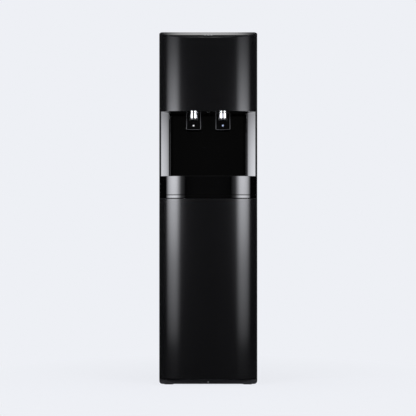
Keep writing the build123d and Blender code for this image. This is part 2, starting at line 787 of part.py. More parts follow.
def drip_tray():
    """Basin on two skids, with a ledge inside its rim for the grille."""
    floor = DECK_TOP + REST + BASIN_SKID
    plan = basin_plan()
    inner = offset(plan, -BASIN_WALL)
    opening = offset(plan, -BASIN_WALL - GRILLE_LEDGE)
    ledge = FASCIA_TOP - GRILLE_T - FIT - REST
    basin = extrude(Plane.XY.offset(floor) * plan, FASCIA_TOP - floor)
    basin -= extrude(Plane.XY.offset(floor + BASIN_WALL) * opening, FASCIA_H)
    basin -= extrude(Plane.XY.offset(floor + BASIN_WALL) * inner, ledge - BASIN_WALL - floor - BASIN_WALL)
    basin -= extrude(Plane.XY.offset(ledge) * inner, FASCIA_H)
    for x in (-BASIN_X / 2, BASIN_X / 2):
        skid_y = (FRONT_Y + BASIN_FRONT + BASIN_CORNER, BAY_BACK_Y - BASIN_GAP - BASIN_CORNER)
        basin += block((x - BASIN_SKID, x + BASIN_SKID), skid_y, (floor - BASIN_SKID, floor))
    return basin


def tray_fascia():
    """Gloss front of the tray, closed on top round the basin."""
    fascia = front_moulding((FASCIA_BOTTOM, FASCIA_TOP), floor=False)
    return fascia - extrude(Plane.XY.offset(FASCIA_BOTTOM - 1) * basin_plan(), FASCIA_H + 2)


def drip_grille():
    """Slotted plate that lifts out of the basin, with a finger hole."""
    top = FASCIA_TOP - FIT
    plan = offset(basin_plan(), -BASIN_WALL - MOVE)
    grille = extrude(Plane.XY.offset(top - GRILLE_T) * plan, GRILLE_T)
    front = FRONT_Y + BASIN_FRONT
    rear = BAY_BACK_Y - BASIN_GAP
    start = (front + rear - (SLOT_ROWS - 1) * SLOT_PITCH) / 2
    slot = Box(SLOT_L, SLOT_W, GRILLE_T * 3)
    for row in range(SLOT_ROWS):
        for side in (-1, 1):
            x = side * (SLOT_L + SLOT_BRIDGE) / 2
            grille -= Pos(x, start + row * SLOT_PITCH, top) * slot
    return grille


# Taps


def tap_bracket():
    """Folded plate on the bay's ceiling, with ears, riveted lever pins and a valve wall."""
    lip_y = NOZZLE_Y - NOZZLE_COLLAR_W / 2 - 4
    plate = block((-BRACKET_X, BRACKET_X), (lip_y, BRACKET_WALL_Y), (CEILING_TOP, BRACKET_TOP))
    wall_y = (BRACKET_WALL_Y - BRACKET_T, BRACKET_WALL_Y)
    bracket = plate + block((-BRACKET_X, BRACKET_X), wall_y, (CEILING_TOP, CEILING_TOP + BRACKET_WALL_H))
    half = LEVER_W / 2 + 1
    reach = NOZZLE_R + MOVE
    round_nozzle = (NOZZLE_Y - reach, NOZZLE_Y + reach)
    for x in TAPS:
        bracket -= block((x - reach, x + reach), round_nozzle, (CEILING, BRACKET_TOP + 1))
        bracket -= block((x - half, x + half), lever_slot_y(), (CEILING_TOP - 1, BRACKET_TOP + 1))
    for x in TAPS:
        for side in (-1, 1):
            edge = x + side * (LEVER_NECK_W / 2 + MOVE)
            span = sorted((edge, edge + side * EAR_T))
            ear = block(span, (PIVOT_Y - 7, wall_y[1]), (CEILING_TOP, CEILING_TOP + EAR_UP))
            ear -= block(span, (PIVOT_Y - 8, PIVOT_Y + 9), (CEILING_TOP - 1, BRACKET_TOP))
            bracket += ear
    half = LEVER_NECK_W / 2 + MOVE
    for x in TAPS:
        bracket += rod(PIN_R, (x - half, PIVOT_Y, PIVOT_Z), (x + half, PIVOT_Y, PIVOT_Z))
    return bracket


def nozzles():
    """Bright sleeves round the spouts, hung by square collars from the tap bracket."""
    end = CEILING - NOZZLE_END
    top = BRACKET_TOP + NOZZLE_COLLAR_T
    half = NOZZLE_COLLAR_W / 2
    sleeve = rod(NOZZLE_R, (0, 0, end), (0, 0, top))
    sleeve += block((-half, half), (-half, half), (BRACKET_TOP, top))
    sleeve -= bar(8, NOZZLE_BORE, (0, 0, end - 1), (0, 0, top + 1))
    return Pos(-TAP_X, NOZZLE_Y, 0) * sleeve + Pos(TAP_X, NOZZLE_Y, 0) * sleeve


def nozzle_tips():
    """Black spouts at the ends of the sleeves, under the hoses."""
    end = CEILING - NOZZLE_END
    tip = bar(ROUND_SIDES, TIP_R, (0, 0, end - TIP_H), (0, 0, end))
    tip -= bar(8, TIP_BORE_R, (0, 0, end - TIP_H - 1), (0, 0, end + 1))
    return Pos(-TAP_X, NOZZLE_Y, 0) * tip + Pos(TAP_X, NOZZLE_Y, 0) * tip


def lever_face(x, inset):
    """Outline of a lever's paddle, drawn in by an inset, as a face in the XZ plane."""
    low = CEILING - LEVER_DROP + inset
    high = CEILING + FIT - inset
    outline = Pos(x, (low + high) / 2) * Rectangle(LEVER_W - 2 * inset, high - low)
    return chamfer(outline.vertices().group_by(Axis.Y)[0], LEVER_CORNER - inset * 0.6)


def lever(x):
    """Push lever: a rimmed paddle, a neck, a pivot barrel and a switch arm."""
    high = CEILING + FIT
    paddle = extrude(Plane.XZ.offset(-LEVER_Y - LEVER_T) * lever_face(x, 0), LEVER_T)
    paddle = chamfer(paddle.edges().group_by(Axis.Y)[0], LEVER_EDGE)
    recess = lever_face(x, LEVER_EDGE + LEVER_RIM_W)
    paddle -= extrude(Plane.XZ.offset(-LEVER_Y - LEVER_RIM_H) * recess, 2 * LEVER_RIM_H)
    neck_y = (LEVER_Y + LEVER_T - LEVER_NECK_T, LEVER_Y + LEVER_T)
    half = LEVER_NECK_W / 2
    neck = block((x - half, x + half), neck_y, (high - 4, PIVOT_Z))
    barrel = bar(8, BOSS_R, (x - half, PIVOT_Y, PIVOT_Z), (x + half, PIVOT_Y, PIVOT_Z))
    arm = block(
        (x - ARM_W / 2, x + ARM_W / 2),
        (PIVOT_Y, PIVOT_Y + ARM_BACK),
        (PIVOT_Z + BOSS_R - LEVER_NECK_T, PIVOT_Z + BOSS_R),
    )
    shape = paddle + neck + barrel + arm
    return shape - rod(PIN_R + PIN_PLAY, (x - LEVER_W, PIVOT_Y, PIVOT_Z), (x + LEVER_W, PIVOT_Y, PIVOT_Z))


def lever_dot(x):
    """Small twelve-sided marker on the recessed face of a lever."""
    z = CEILING - LEVER_DROP + DOT_UP
    face_y = LEVER_Y + LEVER_RIM_H
    return bar(12, DOT_R, (x, face_y - DOT_T, z), (x, face_y, z))


def plunger_foot():
    """Level of a switch plunger's nose, just over the lever's arm."""
    return PIVOT_Z + BOSS_R + MOVE


def plunger(x):
    """Switch plunger with a narrow nose over the lever's arm."""
    foot = plunger_foot()
    half = PLUNGER_W / 2
    bar = block((-half, half), (-half, half), (foot, foot + PLUNGER_L))
    bar = chamfer(bar.edges().group_by(Axis.Z)[0], half - PLUNGER_NOSE / 2)
    return Pos(x, PIVOT_Y + PLUNGER_BACK, 0) * bar


def tap_switches():
    """Switch housings between the ears, with a bore for the plunger and two terminals."""
    low = plunger_foot() + SWITCH_GAP
    y = (PIVOT_Y + PLUNGER_BACK - SWITCH_D / 2, PIVOT_Y + PLUNGER_BACK + SWITCH_D / 2)
    shapes = Part()
    for x in TAPS:
        edge = x + LEVER_NECK_W / 2 + MOVE
        body = block((x - SWITCH_W / 2, edge), y, (low, low + SWITCH_H))
        bore_top = plunger_foot() + PLUNGER_L + 4
        centre = (x, PIVOT_Y + PLUNGER_BACK)
        half = PLUNGER_W / 2 + PLUNGER_PLAY
        body -= Pos(*centre, 0) * block((-half, half), (-half, half), (low - 1, bore_top))
        for offset_x in (-5, 5):
            body += block(
                (x + offset_x - 2, x + offset_x + 2),
                (centre[1] - 0.5, centre[1] + 0.5),
                (low + SWITCH_H - 1, low + SWITCH_H + 7),
            )
        shapes += body
    return shapes


# Water system


def valve_base():
    """Level of the tap valves' bases."""
    return CEILING + VALVE_UP


def solenoid_valve():
    """Valve about its base's centre: a block, a coil and two ports along Z and -Y."""
    body = block((-VALVE_W / 2, VALVE_W / 2), (-VALVE_D / 2, VALVE_D / 2), (0, VALVE_BASE_H))
    coil = block(
        (-VALVE_W / 2, VALVE_W / 2),
        (-VALVE_D / 2 + 3, VALVE_D / 2),
        (VALVE_BASE_H + 2, VALVE_BASE_H + VALVE_H),
    )
    coil = round_corners(coil, 2.5)
    stem = block((-6, 6), (-6, 6), (VALVE_BASE_H - 1, VALVE_BASE_H + 3))
    level = VALVE_BASE_H / 2
    out = bar(8, VALVE_PORT_R, (0, 1 - VALVE_D / 2, level), (0, -VALVE_D / 2 - VALVE_PORT_L, level))
    top = VALVE_BASE_H + VALVE_H
    feed = bar(8, VALVE_PORT_R, (0, 0, top - 1), (0, 0, top + VALVE_PORT_L))
    return body + coil + stem + out + feed


def tap_valve_place(x):
    """Base centre of the valve behind a tap, screwed to the bracket's wall."""
    return (x, BRACKET_WALL_Y - BRACKET_T - VALVE_D / 2, valve_base())


def solenoid_valves():
    """The two dispensing valves and the inlet valve."""
    valves = inlet_valve()
    for x in TAPS:
        valves += Pos(*tap_valve_place(x)) * solenoid_valve()
    return valves


def inlet_valve():
    """In-line inlet valve with a foot on the left side panel."""
    y = inlet_valve_y()
    half = VALVE_W / 2
    foot = VALVE_BASE_H / 2
    body = block((-half, half), (-half, half), (-foot, foot))
    body += block((-half, half), (-half, half), (foot + 2, VALVE_H))
    body += block((-6, 6), (-6, 6), (foot - 1, foot + 3))
    body += block((-INNER_X - INLET_X, 1 - half), (-8, 8), (-6, 6))
    port = half + VALVE_PORT_L
    return Pos(INLET_X, y, INLET_Z) * (body + bar(8, VALVE_PORT_R, (0, -port, 0), (0, port, 0)))


def inlet_valve_y():
    """Depth of the inlet valve's centre."""
    return BACK_Y - INLET_INNER - 35


def filter_channel():
    """Folded channel between the side panels that carries the filter heads."""
    x = INNER_X - FIT
    top = DECK_BOTTOM - CHANNEL_DROP
    y = (filter_y() - CHANNEL_D / 2, filter_y() + CHANNEL_D / 2)
    channel = block((-x, x), y, (top - SHEET, top))
    for edge in (y[0], y[1] - SHEET):
        channel += block((-x, x), (edge, edge + SHEET), (top, top + CHANNEL_LIP))
    ends = block((x - SHEET, x), y, (top - SHEET, top + CHANNEL_LIP))
    return channel + mirrored_pair(ends)


def filter_y():
    """Depth of the filters' axes."""
    return FACE_Y + FILTER_SETBACK


def head_top():
    """Level of the filter heads' tops, under the channel."""
    return DECK_BOTTOM - CHANNEL_DROP - SHEET


def filter_heads():
    """Two heads with side ports, each with a bayonet socket open downwards."""
    top = head_top()
    low = top - HEAD_H
    port_z = filter_port_z()
    reach = HEAD_W / 2 + HEAD_PORT_L
    half = HEAD_PORT_W / 2
    neck_r = FILTER_NECK_R + FILTER_PLAY
    lug_r = FILTER_LUG_R + FILTER_PLAY
    ceiling = low + FILTER_NECK_H + FILTER_PLAY
    groove = ceiling - FILTER_LUG_T - 2 * FILTER_PLAY
    heads = Part()
    for x in (-FILTER_X, FILTER_X):
        head = round_corners(Pos(0, 0, (low + top) / 2) * Box(HEAD_W, HEAD_W, HEAD_H), HEAD_EDGE)
        head -= bar(ROUND_SIDES, neck_r, (0, 0, low - 1), (0, 0, ceiling))
        head -= block((-lug_r, lug_r), (-lug_r, lug_r), (groove, ceiling))
        slot_half = FILTER_LUG_T + FILTER_PLAY
        head -= block((-lug_r, lug_r), (-slot_half, slot_half), (low - 1, groove + 1))
        head += block((HEAD_W / 2 - 1, reach), (-half, half), (port_z - half, port_z + half))
        head += block((-reach, 1 - HEAD_W / 2), (-half, half), (port_z - half, port_z + half))
        heads += Pos(x, filter_y(), 0) * head
    return heads


def filter_port_z():
    """Level of the filter heads' ports."""
    return head_top() - HEAD_PORT_W / 2 - 2


def cartridge(x):
    """Filter cartridge with a bayonet neck and an eight-sided grip."""
    neck_top = head_top() - HEAD_H + FILTER_NECK_H
    shoulder = neck_top - FILTER_NECK_H - FILTER_PLAY
    foot = shoulder - FILTER_H
    rise = FILTER_R - FILTER_NECK_R
    body = bar(ROUND_SIDES, FILTER_R, (0, 0, foot + 1), (0, 0, shoulder - rise))
    body += dome(FILTER_R, rise, shoulder - rise)
    body += bar(ROUND_SIDES, FILTER_NECK_R - 0.4, (0, 0, shoulder - 1), (0, 0, neck_top - FILTER_LUG_T))
    lug_half = FILTER_LUG_R - 1
    low = neck_top - FILTER_LUG_T - 1
    body += block((-FILTER_LUG_T, FILTER_LUG_T), (-FILTER_NECK_R + 1, FILTER_NECK_R - 1), (low, neck_top))
    body += block((-FILTER_LUG_T, FILTER_LUG_T), (-lug_half, lug_half), (low + 1, neck_top))
    grip = extrude(RegularPolygon(FILTER_R + 0.5, 8, major_radius=False), FILTER_GRIP_H)
    return Pos(x, filter_y(), 0) * (body + Pos(0, 0, foot) * grip)


def inlet_union():
    """Push-fit bulkhead union for the supply tube, through the rear panel."""
    y_in = BACK_Y - INLET_INNER
    y_out = BACK_Y + INLET_PROUD
    shape = bar(6, INLET_BODY_R, (0, y_in, 0), (0, BACK_Y - SHEET, 0))
    shape += rod(INLET_BODY_R, (0, BACK_Y - SHEET, 0), (0, BACK_Y, 0))
    shape += bar(6, INLET_BODY_R, (0, BACK_Y, 0), (0, y_out, 0))
    shape += bar(6, INLET_NUT_R, (0, BACK_Y, 0), (0, BACK_Y + INLET_NUT_T, 0))
    shape += bar(6, INLET_NUT_R, (0, BACK_Y - SHEET - INLET_NUT_T, 0), (0, BACK_Y - SHEET, 0))
    shape -= rod(TUBE_R + TUBE_PLAY, (0, y_out - INLET_LEN, 0), (0, y_out + 1, 0))
    return Pos(INLET_X, 0, INLET_Z) * shape


def feed_tee():
    """Tee that splits filtered water between the cold tank and the ambient tap."""
    half = TEE_SIZE / 2
    x, y, z = tee_place()
    body = block((x - half, x + half), (y - half, y + half), (z - half, z + half))
    return body + block((x + half - 1, INNER_X), (y - 5, y + 5), (z - 5, z + 5))


def water_fittings():
    """Supply union, feed tee, elbows and drain stub."""
    shapes = inlet_union() + feed_tee() + drain_stub()
    for route in water_routes():
        shapes += elbows(route)
    return shapes


def tee_place():
    """Centre of the feed tee, in the free way behind the bay."""
    return (RISER_X, LINER_BACK_Y + 12.5, CEILING + TEE_UP)


def water_routes():
    """Tube routes: supply, filter link, riser, ambient, tank feed, cold and the two outlets."""
    y_filter = filter_y()
    port_z = filter_port_z()
    reach = HEAD_W / 2 + HEAD_PORT_L
    valve_y = inlet_valve_y()
    port = VALVE_W / 2 + VALVE_PORT_L
    riser_x, riser_y, tee_z = tee_place()
    tee = TEE_SIZE / 2
    valve_at = tap_valve_place(TAP_X)[1]
    port_top = valve_base() + VALVE_BASE_H + VALVE_H + VALVE_PORT_L
    port_end = lid_top() + STUB_H
    tank_y = jacket_y()
    feed_z = tee_z + tee + 24
    cold_z = feed_z + ELBOW + 6
    end_z = CEILING - NOZZLE_END
    routes = [
        [(INLET_X, valve_y + port, INLET_Z), (INLET_X, BACK_Y - INLET_INNER, INLET_Z)],
        [
            (INLET_X, valve_y - port, INLET_Z),
            (INLET_X, y_filter, INLET_Z),
            (INLET_X, y_filter, port_z),
            (-FILTER_X - reach, y_filter, port_z),
        ],
        [(reach - FILTER_X, y_filter, port_z), (FILTER_X - reach, y_filter, port_z)],
        [
            (FILTER_X + reach, y_filter, port_z),
            (riser_x, y_filter, port_z),
            (riser_x, riser_y, port_z),
            (riser_x, riser_y, tee_z - tee),
        ],
        [
            (riser_x - tee, riser_y, tee_z),
            (-TAP_X, riser_y, tee_z),
            (-TAP_X, valve_at, tee_z),
            (-TAP_X, valve_at, port_top),
        ],
        [
            (riser_x, riser_y, tee_z + tee),
            (riser_x, riser_y, feed_z),
            (riser_x, tank_y, feed_z),
            (-TANK_PORT_OFFSET, tank_y, feed_z),
            (-TANK_PORT_OFFSET, tank_y, port_end),
        ],
        [
            (TAP_X, valve_at, port_top),
            (TAP_X, valve_at, cold_z),
            (TANK_PORT_OFFSET, valve_at, cold_z),
            (TANK_PORT_OFFSET, tank_y, cold_z),
            (TANK_PORT_OFFSET, tank_y, port_end),
        ],
    ]
    outlet_y = valve_at - VALVE_D / 2 - VALVE_PORT_L
    outlet_z = valve_base() + VALVE_BASE_H / 2
    for x in TAPS:
        routes.append([(x, outlet_y, outlet_z), (x, NOZZLE_Y, outlet_z), (x, NOZZLE_Y, end_z)])
    return routes


def water_lines():
    """Supply, filter link, riser, tank feed, cold, ambient and outlet tubes."""
    lines = Part()
    for route in water_routes():
        lines += tube_runs(route)
    return lines


def drain_stub():
    """Drain stub of the cold tank, through the rear panel."""
    shape = bar(6, DRAIN_R, (0, BACK_Y - 14, 0), (0, BACK_Y + 2, 0))
    shape += bar(6, DRAIN_R + 4, (0, BACK_Y - SHEET - 3, 0), (0, BACK_Y - SHEET, 0))
    shape -= bar(8, TUBE_R, (0, BACK_Y - 20, 0), (0, BACK_Y + 3, 0))
    return Pos(DRAIN_X, 0, DRAIN_Z) * shape


def drain_cap():
    """Six-sided cap over the drain stub."""
    y = BACK_Y + 2 + MOVE
    return bar(6, DRAIN_CAP_R, (DRAIN_X, y, DRAIN_Z), (DRAIN_X, y + DRAIN_CAP_T, DRAIN_Z))


# Cold tank


def jacket_half():
    """Half width of the tank's insulation, which fills the depth behind the tubes' way."""
    return (REAR_FLANGE_Y - SHEET - FIT - LINER_BACK_Y - TANK_WAY) / 2


def jacket_y():
    """Depth of the tank's axis."""
    return REAR_FLANGE_Y - SHEET - FIT - jacket_half()


def lid_top():
    """Level of the insulation lid's top."""
    return CEILING + LID_UP


def tank_radius():
    """Radius of the tank inside its insulation."""
    return jacket_half() - JACKET_T


def tank_top():
    """Level of the tank's top, under the lid."""
    return lid_top() - LID_H


def tank_ports(radius, low, high):
    """Inlet and outlet bars over the tank, between two levels."""
    ports = Part()
    for x in (-TANK_PORT_OFFSET, TANK_PORT_OFFSET):
        ports += bar(8, radius, (x, 0, low), (x, 0, high))
    return ports


def cold_tank():
    """Stainless tank with two stubs that reach up through the insulation lid."""
    low = shelf_top() + JACKET_T
    tank = rod(tank_radius(), (0, 0, low), (0, 0, tank_top()))
    return Pos(0, jacket_y(), 0) * (tank + tank_ports(STUB_R, tank_top() - 1, lid_top() + STUB_H))


def tank_jacket():
    """Foam block under and round the tank."""
    half = jacket_half()
    jacket = round_corners(block((-half, half), (-half, half), (shelf_top(), tank_top())), JACKET_CORNER)
    jacket -= rod(tank_radius() + TANK_PLAY, (0, 0, shelf_top() + JACKET_T), (0, 0, lid_top()))
    return Pos(0, jacket_y(), 0) * jacket


def jacket_lid():
    """Foam lid over the tank."""
    half = jacket_half()
    lid = round_corners(block((-half, half), (-half, half), (tank_top(), lid_top())), JACKET_CORNER)
    return Pos(0, jacket_y(), 0) * (lid - tank_ports(STUB_R, tank_top() - 1, lid_top() + 1))


# Refrigeration


COMP_X = COMP_INSET - SIDE_X
COMP_Y = BACK_Y - COMP_BACK
PAN_FLOOR = FOOT_H + PAN_T
COMP_BASE = PAN_FLOOR + GROMMET_H
COMP_TOP = COMP_BASE + COMP_H
SUCTION_X = COMP_X - 28.0
SUCTION_Y = COMP_Y + 12.0
COND_W = SIDE_X - COND_MARGIN - COND_X
FAN_X = COND_X + COND_W / 2
COND_Y = BACK_Y - SHEET - COND_BACK - COND_D / 2
DRIER_Y = COND_Y


def compressor():
    """Shell with a domed top on a base plate with four lugs, and two stubs on top."""
    reach = GROMMET_REACH + GROMMET_W / 2
    plate = round_corners(block((-reach, reach), (-reach, reach), (0, COMP_PLATE_T)), GROMMET_W / 3)
    shell = rod(COMP_R, (0, 0, COMP_PLATE_T), (0, 0, COMP_H - COMP_DOME)) + plate
    shell = Pos(COMP_X, COMP_Y, COMP_BASE) * (shell + dome(COMP_R - 1, COMP_DOME, COMP_H - COMP_DOME))
    for place in ((SUCTION_X, SUCTION_Y), discharge_place()):
        shell += bar(8, PIPE_R + 1, (*place, COMP_TOP - 12), (*place, COMP_TOP + 8))
    return shell


def discharge_place():
    """Plan position of the compressor's discharge stub."""
    return (COMP_X + 30.0, COMP_Y + 12.0)


def compressor_mounts():
    """Rubber grommets between the compressor and the base pan."""
    mounts = Part()
    for x in (-GROMMET_REACH, GROMMET_REACH):
        for y in (-GROMMET_REACH, GROMMET_REACH):
            place = Pos(COMP_X + x, COMP_Y + y, PAN_FLOOR + GROMMET_H / 2)
            mounts += place * round_corners(Box(GROMMET_W, GROMMET_W, GROMMET_H), GROMMET_W / 4)
    return mounts


def condenser():
    """Finned block between two end plates that stand on the base pan."""
    y = (COND_Y - COND_D / 2, COND_Y + COND_D / 2)
    z = (PAN_FLOOR + 10, PAN_FLOOR + 10 + COND_H)
    core = block((COND_X, COND_X + COND_W), y, z)
    pitch = COND_W / COND_GROOVES
    for i in range(COND_GROOVES):
        x = COND_X + (i + 0.5) * pitch
        for face in y:
            core -= Pos(x, face, (z[0] + z[1]) / 2) * Box(pitch / 2, 2 * COND_GROOVE, COND_H + 1)
    for x in (COND_X - 2, COND_X + COND_W):
        core += block((x, x + 2), y, (PAN_FLOOR, z[1] + 4))
    return core + bar(8, PIPE_R + 1, (COND_X + 20, COND_Y, z[1] - 5), (COND_X + 20, COND_Y, z[1] + 10))


def fan_centre():
    """Centre of the fan's front face."""
    return (FAN_X, COND_Y - COND_D / 2 - FAN_D, PAN_FLOOR + FAN_LIFT + FAN_SIZE / 2)


def fan_frame():
    """Square fan frame with a motor seat on three struts at the condenser's side."""
    x, y, z = fan_centre()
    half = FAN_SIZE / 2
    frame = block((-half, half), (0, FAN_D), (-half, half))
    frame = chamfer(frame.edges().filter_by(Axis.Y), 4)
    frame -= bar(ROUND_SIDES, FAN_BORE_R, (0, -1, 0), (0, FAN_D + 1, 0))
    seat = bar(12, HUB_R, (0, FAN_D - 4, 0), (0, FAN_D, 0))
    for step in range(3):
        arm = block((-2.5, 2.5), (FAN_D - 4, FAN_D), (HUB_R - 1, FAN_BORE_R + 1))
        seat += Rot(0, 120 * step, 0) * arm
    legs = Part()
    for side in (-1, 1):
        edge = side * (FAN_SIZE / 2 - 8)
        legs += block((edge - 4, edge + 4), (0, FAN_D), (-FAN_SIZE / 2 - FAN_LIFT, 1 - FAN_SIZE / 2))
    return Pos(x, y, z) * (frame + seat + legs)


def fan_rotor():
    """Hub with flat blades set at a pitch."""
    x, y, z = fan_centre()
    depth = FAN_D - 4 - MOVE * 2 - HUB_D
    rotor = bar(4 * BLADE_COUNT, HUB_R, (0, depth, 0), (0, depth + HUB_D, 0))
    span = BLADE_R - HUB_R + 3
    blade = Rot(0, 0, BLADE_PITCH) * Box(BLADE_CHORD, BLADE_T, span)
    blade = Pos(0, depth + HUB_D / 2, BLADE_R - span / 2) * blade
    for step in range(BLADE_COUNT):
        rotor += Rot(0, 360 / BLADE_COUNT * step, 0) * blade
    return Pos(x, y, z) * rotor


def refrigerant_lines():
    """Brazed copper: suction and discharge pipes with sleeved corners, drier and capillary."""
    rise = COMP_TOP + 8
    entry_z = shelf_top() + SUCTION_UP
    suction = [
        (SUCTION_X, SUCTION_Y, rise),
        (SUCTION_X, SUCTION_Y, entry_z),
        (-jacket_half(), SUCTION_Y, entry_z),
    ]
    start = discharge_place()
    top = PAN_FLOOR + 10 + COND_H + 10
    over = max(rise, top) + 30
    discharge = [
        (*start, rise),
        (*start, over),
        (COND_X + 20, start[1], over),
        (COND_X + 20, COND_Y, over),
        (COND_X + 20, COND_Y, top),
    ]
    lines = drier()
    for route in (suction, discharge):
        path = Polyline(*route)
        lines += swept(RegularPolygon(PIPE_R, 8), path, route[0], route[1], Transition.RIGHT)
    low = PAN_FLOOR + 30
    return lines + bar(6, CAPILLARY_R, (DRIER_X, DRIER_Y, low + DRIER_H - 1), (DRIER_X, DRIER_Y, shelf_top()))


def drier():
    """Drier bottle on a clip from the condenser's end plate."""
    low = PAN_FLOOR + 30
    bottle = bar(12, DRIER_R, (DRIER_X, DRIER_Y, low), (DRIER_X, DRIER_Y, low + DRIER_H - 8))
    bottle += bar(12, DRIER_R / 2, (DRIER_X, DRIER_Y, low + DRIER_H - 9), (DRIER_X, DRIER_Y, low + DRIER_H))
    middle = low + DRIER_H / 2
    return bottle + block((DRIER_X, COND_X - 2), (DRIER_Y - 3, DRIER_Y + 3), (middle - 5, middle + 5))


# Electrical pieces


def control_box():
    """Open tray on the right side panel that holds the control board."""
    outer = block((INNER_X - BOX_W, INNER_X), (BOX_Y - BOX_D / 2, BOX_Y + BOX_D / 2), (BOX_Z, BOX_Z + BOX_H))
    inner = block(
        (INNER_X - BOX_W - 1, INNER_X - BOX_WALL),
        (BOX_Y - BOX_D / 2 + BOX_WALL, BOX_Y + BOX_D / 2 - BOX_WALL),
        (BOX_Z + BOX_WALL, BOX_Z + BOX_H - BOX_WALL),
    )
    return outer - inner


def control_board():
    """Circuit board with its larger components, on the box's floor."""
    x = INNER_X - BOX_WALL
    margin = BOX_WALL + FIT
    y = (BOX_Y - BOX_D / 2 + margin, BOX_Y + BOX_D / 2 - margin)
    z = (BOX_Z + margin, BOX_Z + BOX_H - margin)
    face = x - BOARD_LIFT - BOARD_T
    board = block((face, x - BOARD_LIFT), y, z)
    along = (z[0] + RAIL_MARGIN, z[1] - RAIL_MARGIN)
    for edge in (y[0] + RAIL_MARGIN, y[1] - RAIL_MARGIN - BOARD_LIFT):
        board += block((x - BOARD_LIFT, x), (edge, edge + BOARD_LIFT), along)
    near_y = y[0] + COMPONENT_MARGIN
    far_y = y[1] - COMPONENT_MARGIN
    low_z = z[0] + COMPONENT_MARGIN
    high_z = z[1] - COMPONENT_MARGIN
    board += block(
        (face - TRANSFORMER_H, face), (near_y, near_y + TRANSFORMER_W), (low_z, low_z + TRANSFORMER_L)
    )
    board += block((face - RELAY_H, face), (far_y - RELAY_W, far_y), (high_z - RELAY_W, high_z))
    return board + block(
        (face - CONNECTOR_H, face), (near_y, near_y + RELAY_W), (high_z - CONNECTOR_L, high_z)
    )


def rear_box(z, half_h, hollow):
    """Panel-mounted housing behind the rear panel, with a bezel outside it."""
    half_w = SOCKET_W / 2 + BEZEL / 2
    body = block(
        (SOCKET_X - half_w, SOCKET_X + half_w),
        (BACK_Y - SOCKET_BODY, BACK_Y),
        (z - half_h - BEZEL / 2, z + half_h + BEZEL / 2),
    )
    body += block(
        (SOCKET_X - half_w - BEZEL / 2, SOCKET_X + half_w + BEZEL / 2),
        (BACK_Y, BACK_Y + BEZEL_T),
        (z - half_h - BEZEL, z + half_h + BEZEL),
    )
    return body - hollow


def power_inlet():
    """Mains inlet with three flat pins in a chamfered recess."""
    y = (BACK_Y + BEZEL_T - SOCKET_DEPTH, BACK_Y + BEZEL_T + 1)
    half_w = SOCKET_W / 2
    half_h = SOCKET_H / 2
    recess = block((SOCKET_X - half_w, SOCKET_X + half_w), y, (SOCKET_Z - half_h, SOCKET_Z + half_h))
    recess = chamfer(recess.edges().filter_by(Axis.Y).group_by(Axis.Z)[-1], 4)
    inlet = rear_box(SOCKET_Z, half_h, recess)
    for dx, dz in ((-7, 2), (7, 2), (0, 5)):
        inlet += block(
            (SOCKET_X + dx - 1, SOCKET_X + dx + 1),
            (y[0] - 1, y[0] + 12),
            (SOCKET_Z + dz - 2, SOCKET_Z + dz + 2),
        )
    return inlet


def rocker_axis():
    """Depth of the rocker's pivot."""
    return BACK_Y + BEZEL_T - 4


def switch_housing():
    """Housing of the cooling switch, hollowed round the rocker's sweep."""
    half_w = ROCKER_W / 2 + ROCKER_PLAY
    sweep_r = ROCKER_R + ROCKER_PLAY
    hollow = block(
        (SOCKET_X - half_w, SOCKET_X + half_w),
        (rocker_axis() - sweep_r, BACK_Y + BEZEL_T + 1),
        (ROCKER_Z - sweep_r, ROCKER_Z + sweep_r),
    )
    y = rocker_axis()
    pin = rod(ROCKER_PIN_R, (SOCKET_X - half_w - 1, y, ROCKER_Z), (SOCKET_X + half_w + 1, y, ROCKER_Z))
    return rear_box(ROCKER_Z, sweep_r, hollow) + pin


def cooling_switch():
    """Rocker with a shallow V face, resting with its upper end pressed in."""
    half_w = ROCKER_W / 2
    y = rocker_axis()
    rocker = rod(ROCKER_R, (SOCKET_X - half_w, y, ROCKER_Z), (SOCKET_X + half_w, y, ROCKER_Z))
    tilt = ROCKER_SWING / 2
    across = (SOCKET_X - half_w - 1, SOCKET_X + half_w + 1)
    face = block(across, (y + 4.5, y + 20), (ROCKER_Z - 30, ROCKER_Z + 30))
    pivot = Pos(0, y, ROCKER_Z)
    for turn in (-tilt, tilt):
        rocker -= pivot * Rot(turn - tilt, 0, 0) * pivot.inverse() * face
    return rocker - rod(ROCKER_PIN_R + PIN_PLAY, (across[0], y, ROCKER_Z), (across[1], y, ROCKER_Z))


def thermostat():
    """Cold thermostat inside the rear panel, with its shaft's bush."""
    z = DIAL_Z
    body = block((SOCKET_X - 16, SOCKET_X + 16), (BACK_Y - SHEET - 22, BACK_Y - SHEET), (z - 16, z + 16))
    return body - rod(DIAL_SHAFT_R + PIN_PLAY, (SOCKET_X, BACK_Y - 14, z), (SOCKET_X, BACK_Y, z))


def thermostat_knob():
    """Twelve-sided dial on a shaft that turns in the thermostat."""
    start = BACK_Y + MOVE
    knob = extrude(Plane.XZ.offset(-start) * RegularPolygon(DIAL_R, 12), -DIAL_H)
    slot = block((-1, 1), (start + DIAL_H - 2, start + DIAL_H + 1), (3 - DIAL_R, DIAL_R + 1))
    shaft = rod(DIAL_SHAFT_R, (0, BACK_Y - 13, 0), (0, start + 1, 0))
    return Pos(SOCKET_X, 0, DIAL_Z) * (knob - slot + shaft)


def wiring_loom():
    """Taped flat loom from the control box up to the tap bracket's wall."""
    end_z = valve_base()
    way_y = LINER_BACK_Y + 12.5
    route = [
        (LOOM_X, BOX_Y, BOX_Z + BOX_H),
        (LOOM_X, BOX_Y, end_z),
        (LOOM_X, way_y, end_z),
        (BRACKET_X - 12, way_y, end_z),
        (BRACKET_X - 12, BRACKET_WALL_Y, end_z),
    ]
    path = FilletPolyline(*route, radius=[LOOM_BEND, LOOM_BEND, LOOM_BEND])
    return swept(Rectangle(LOOM_T, LOOM_W), path, route[0], route[1])


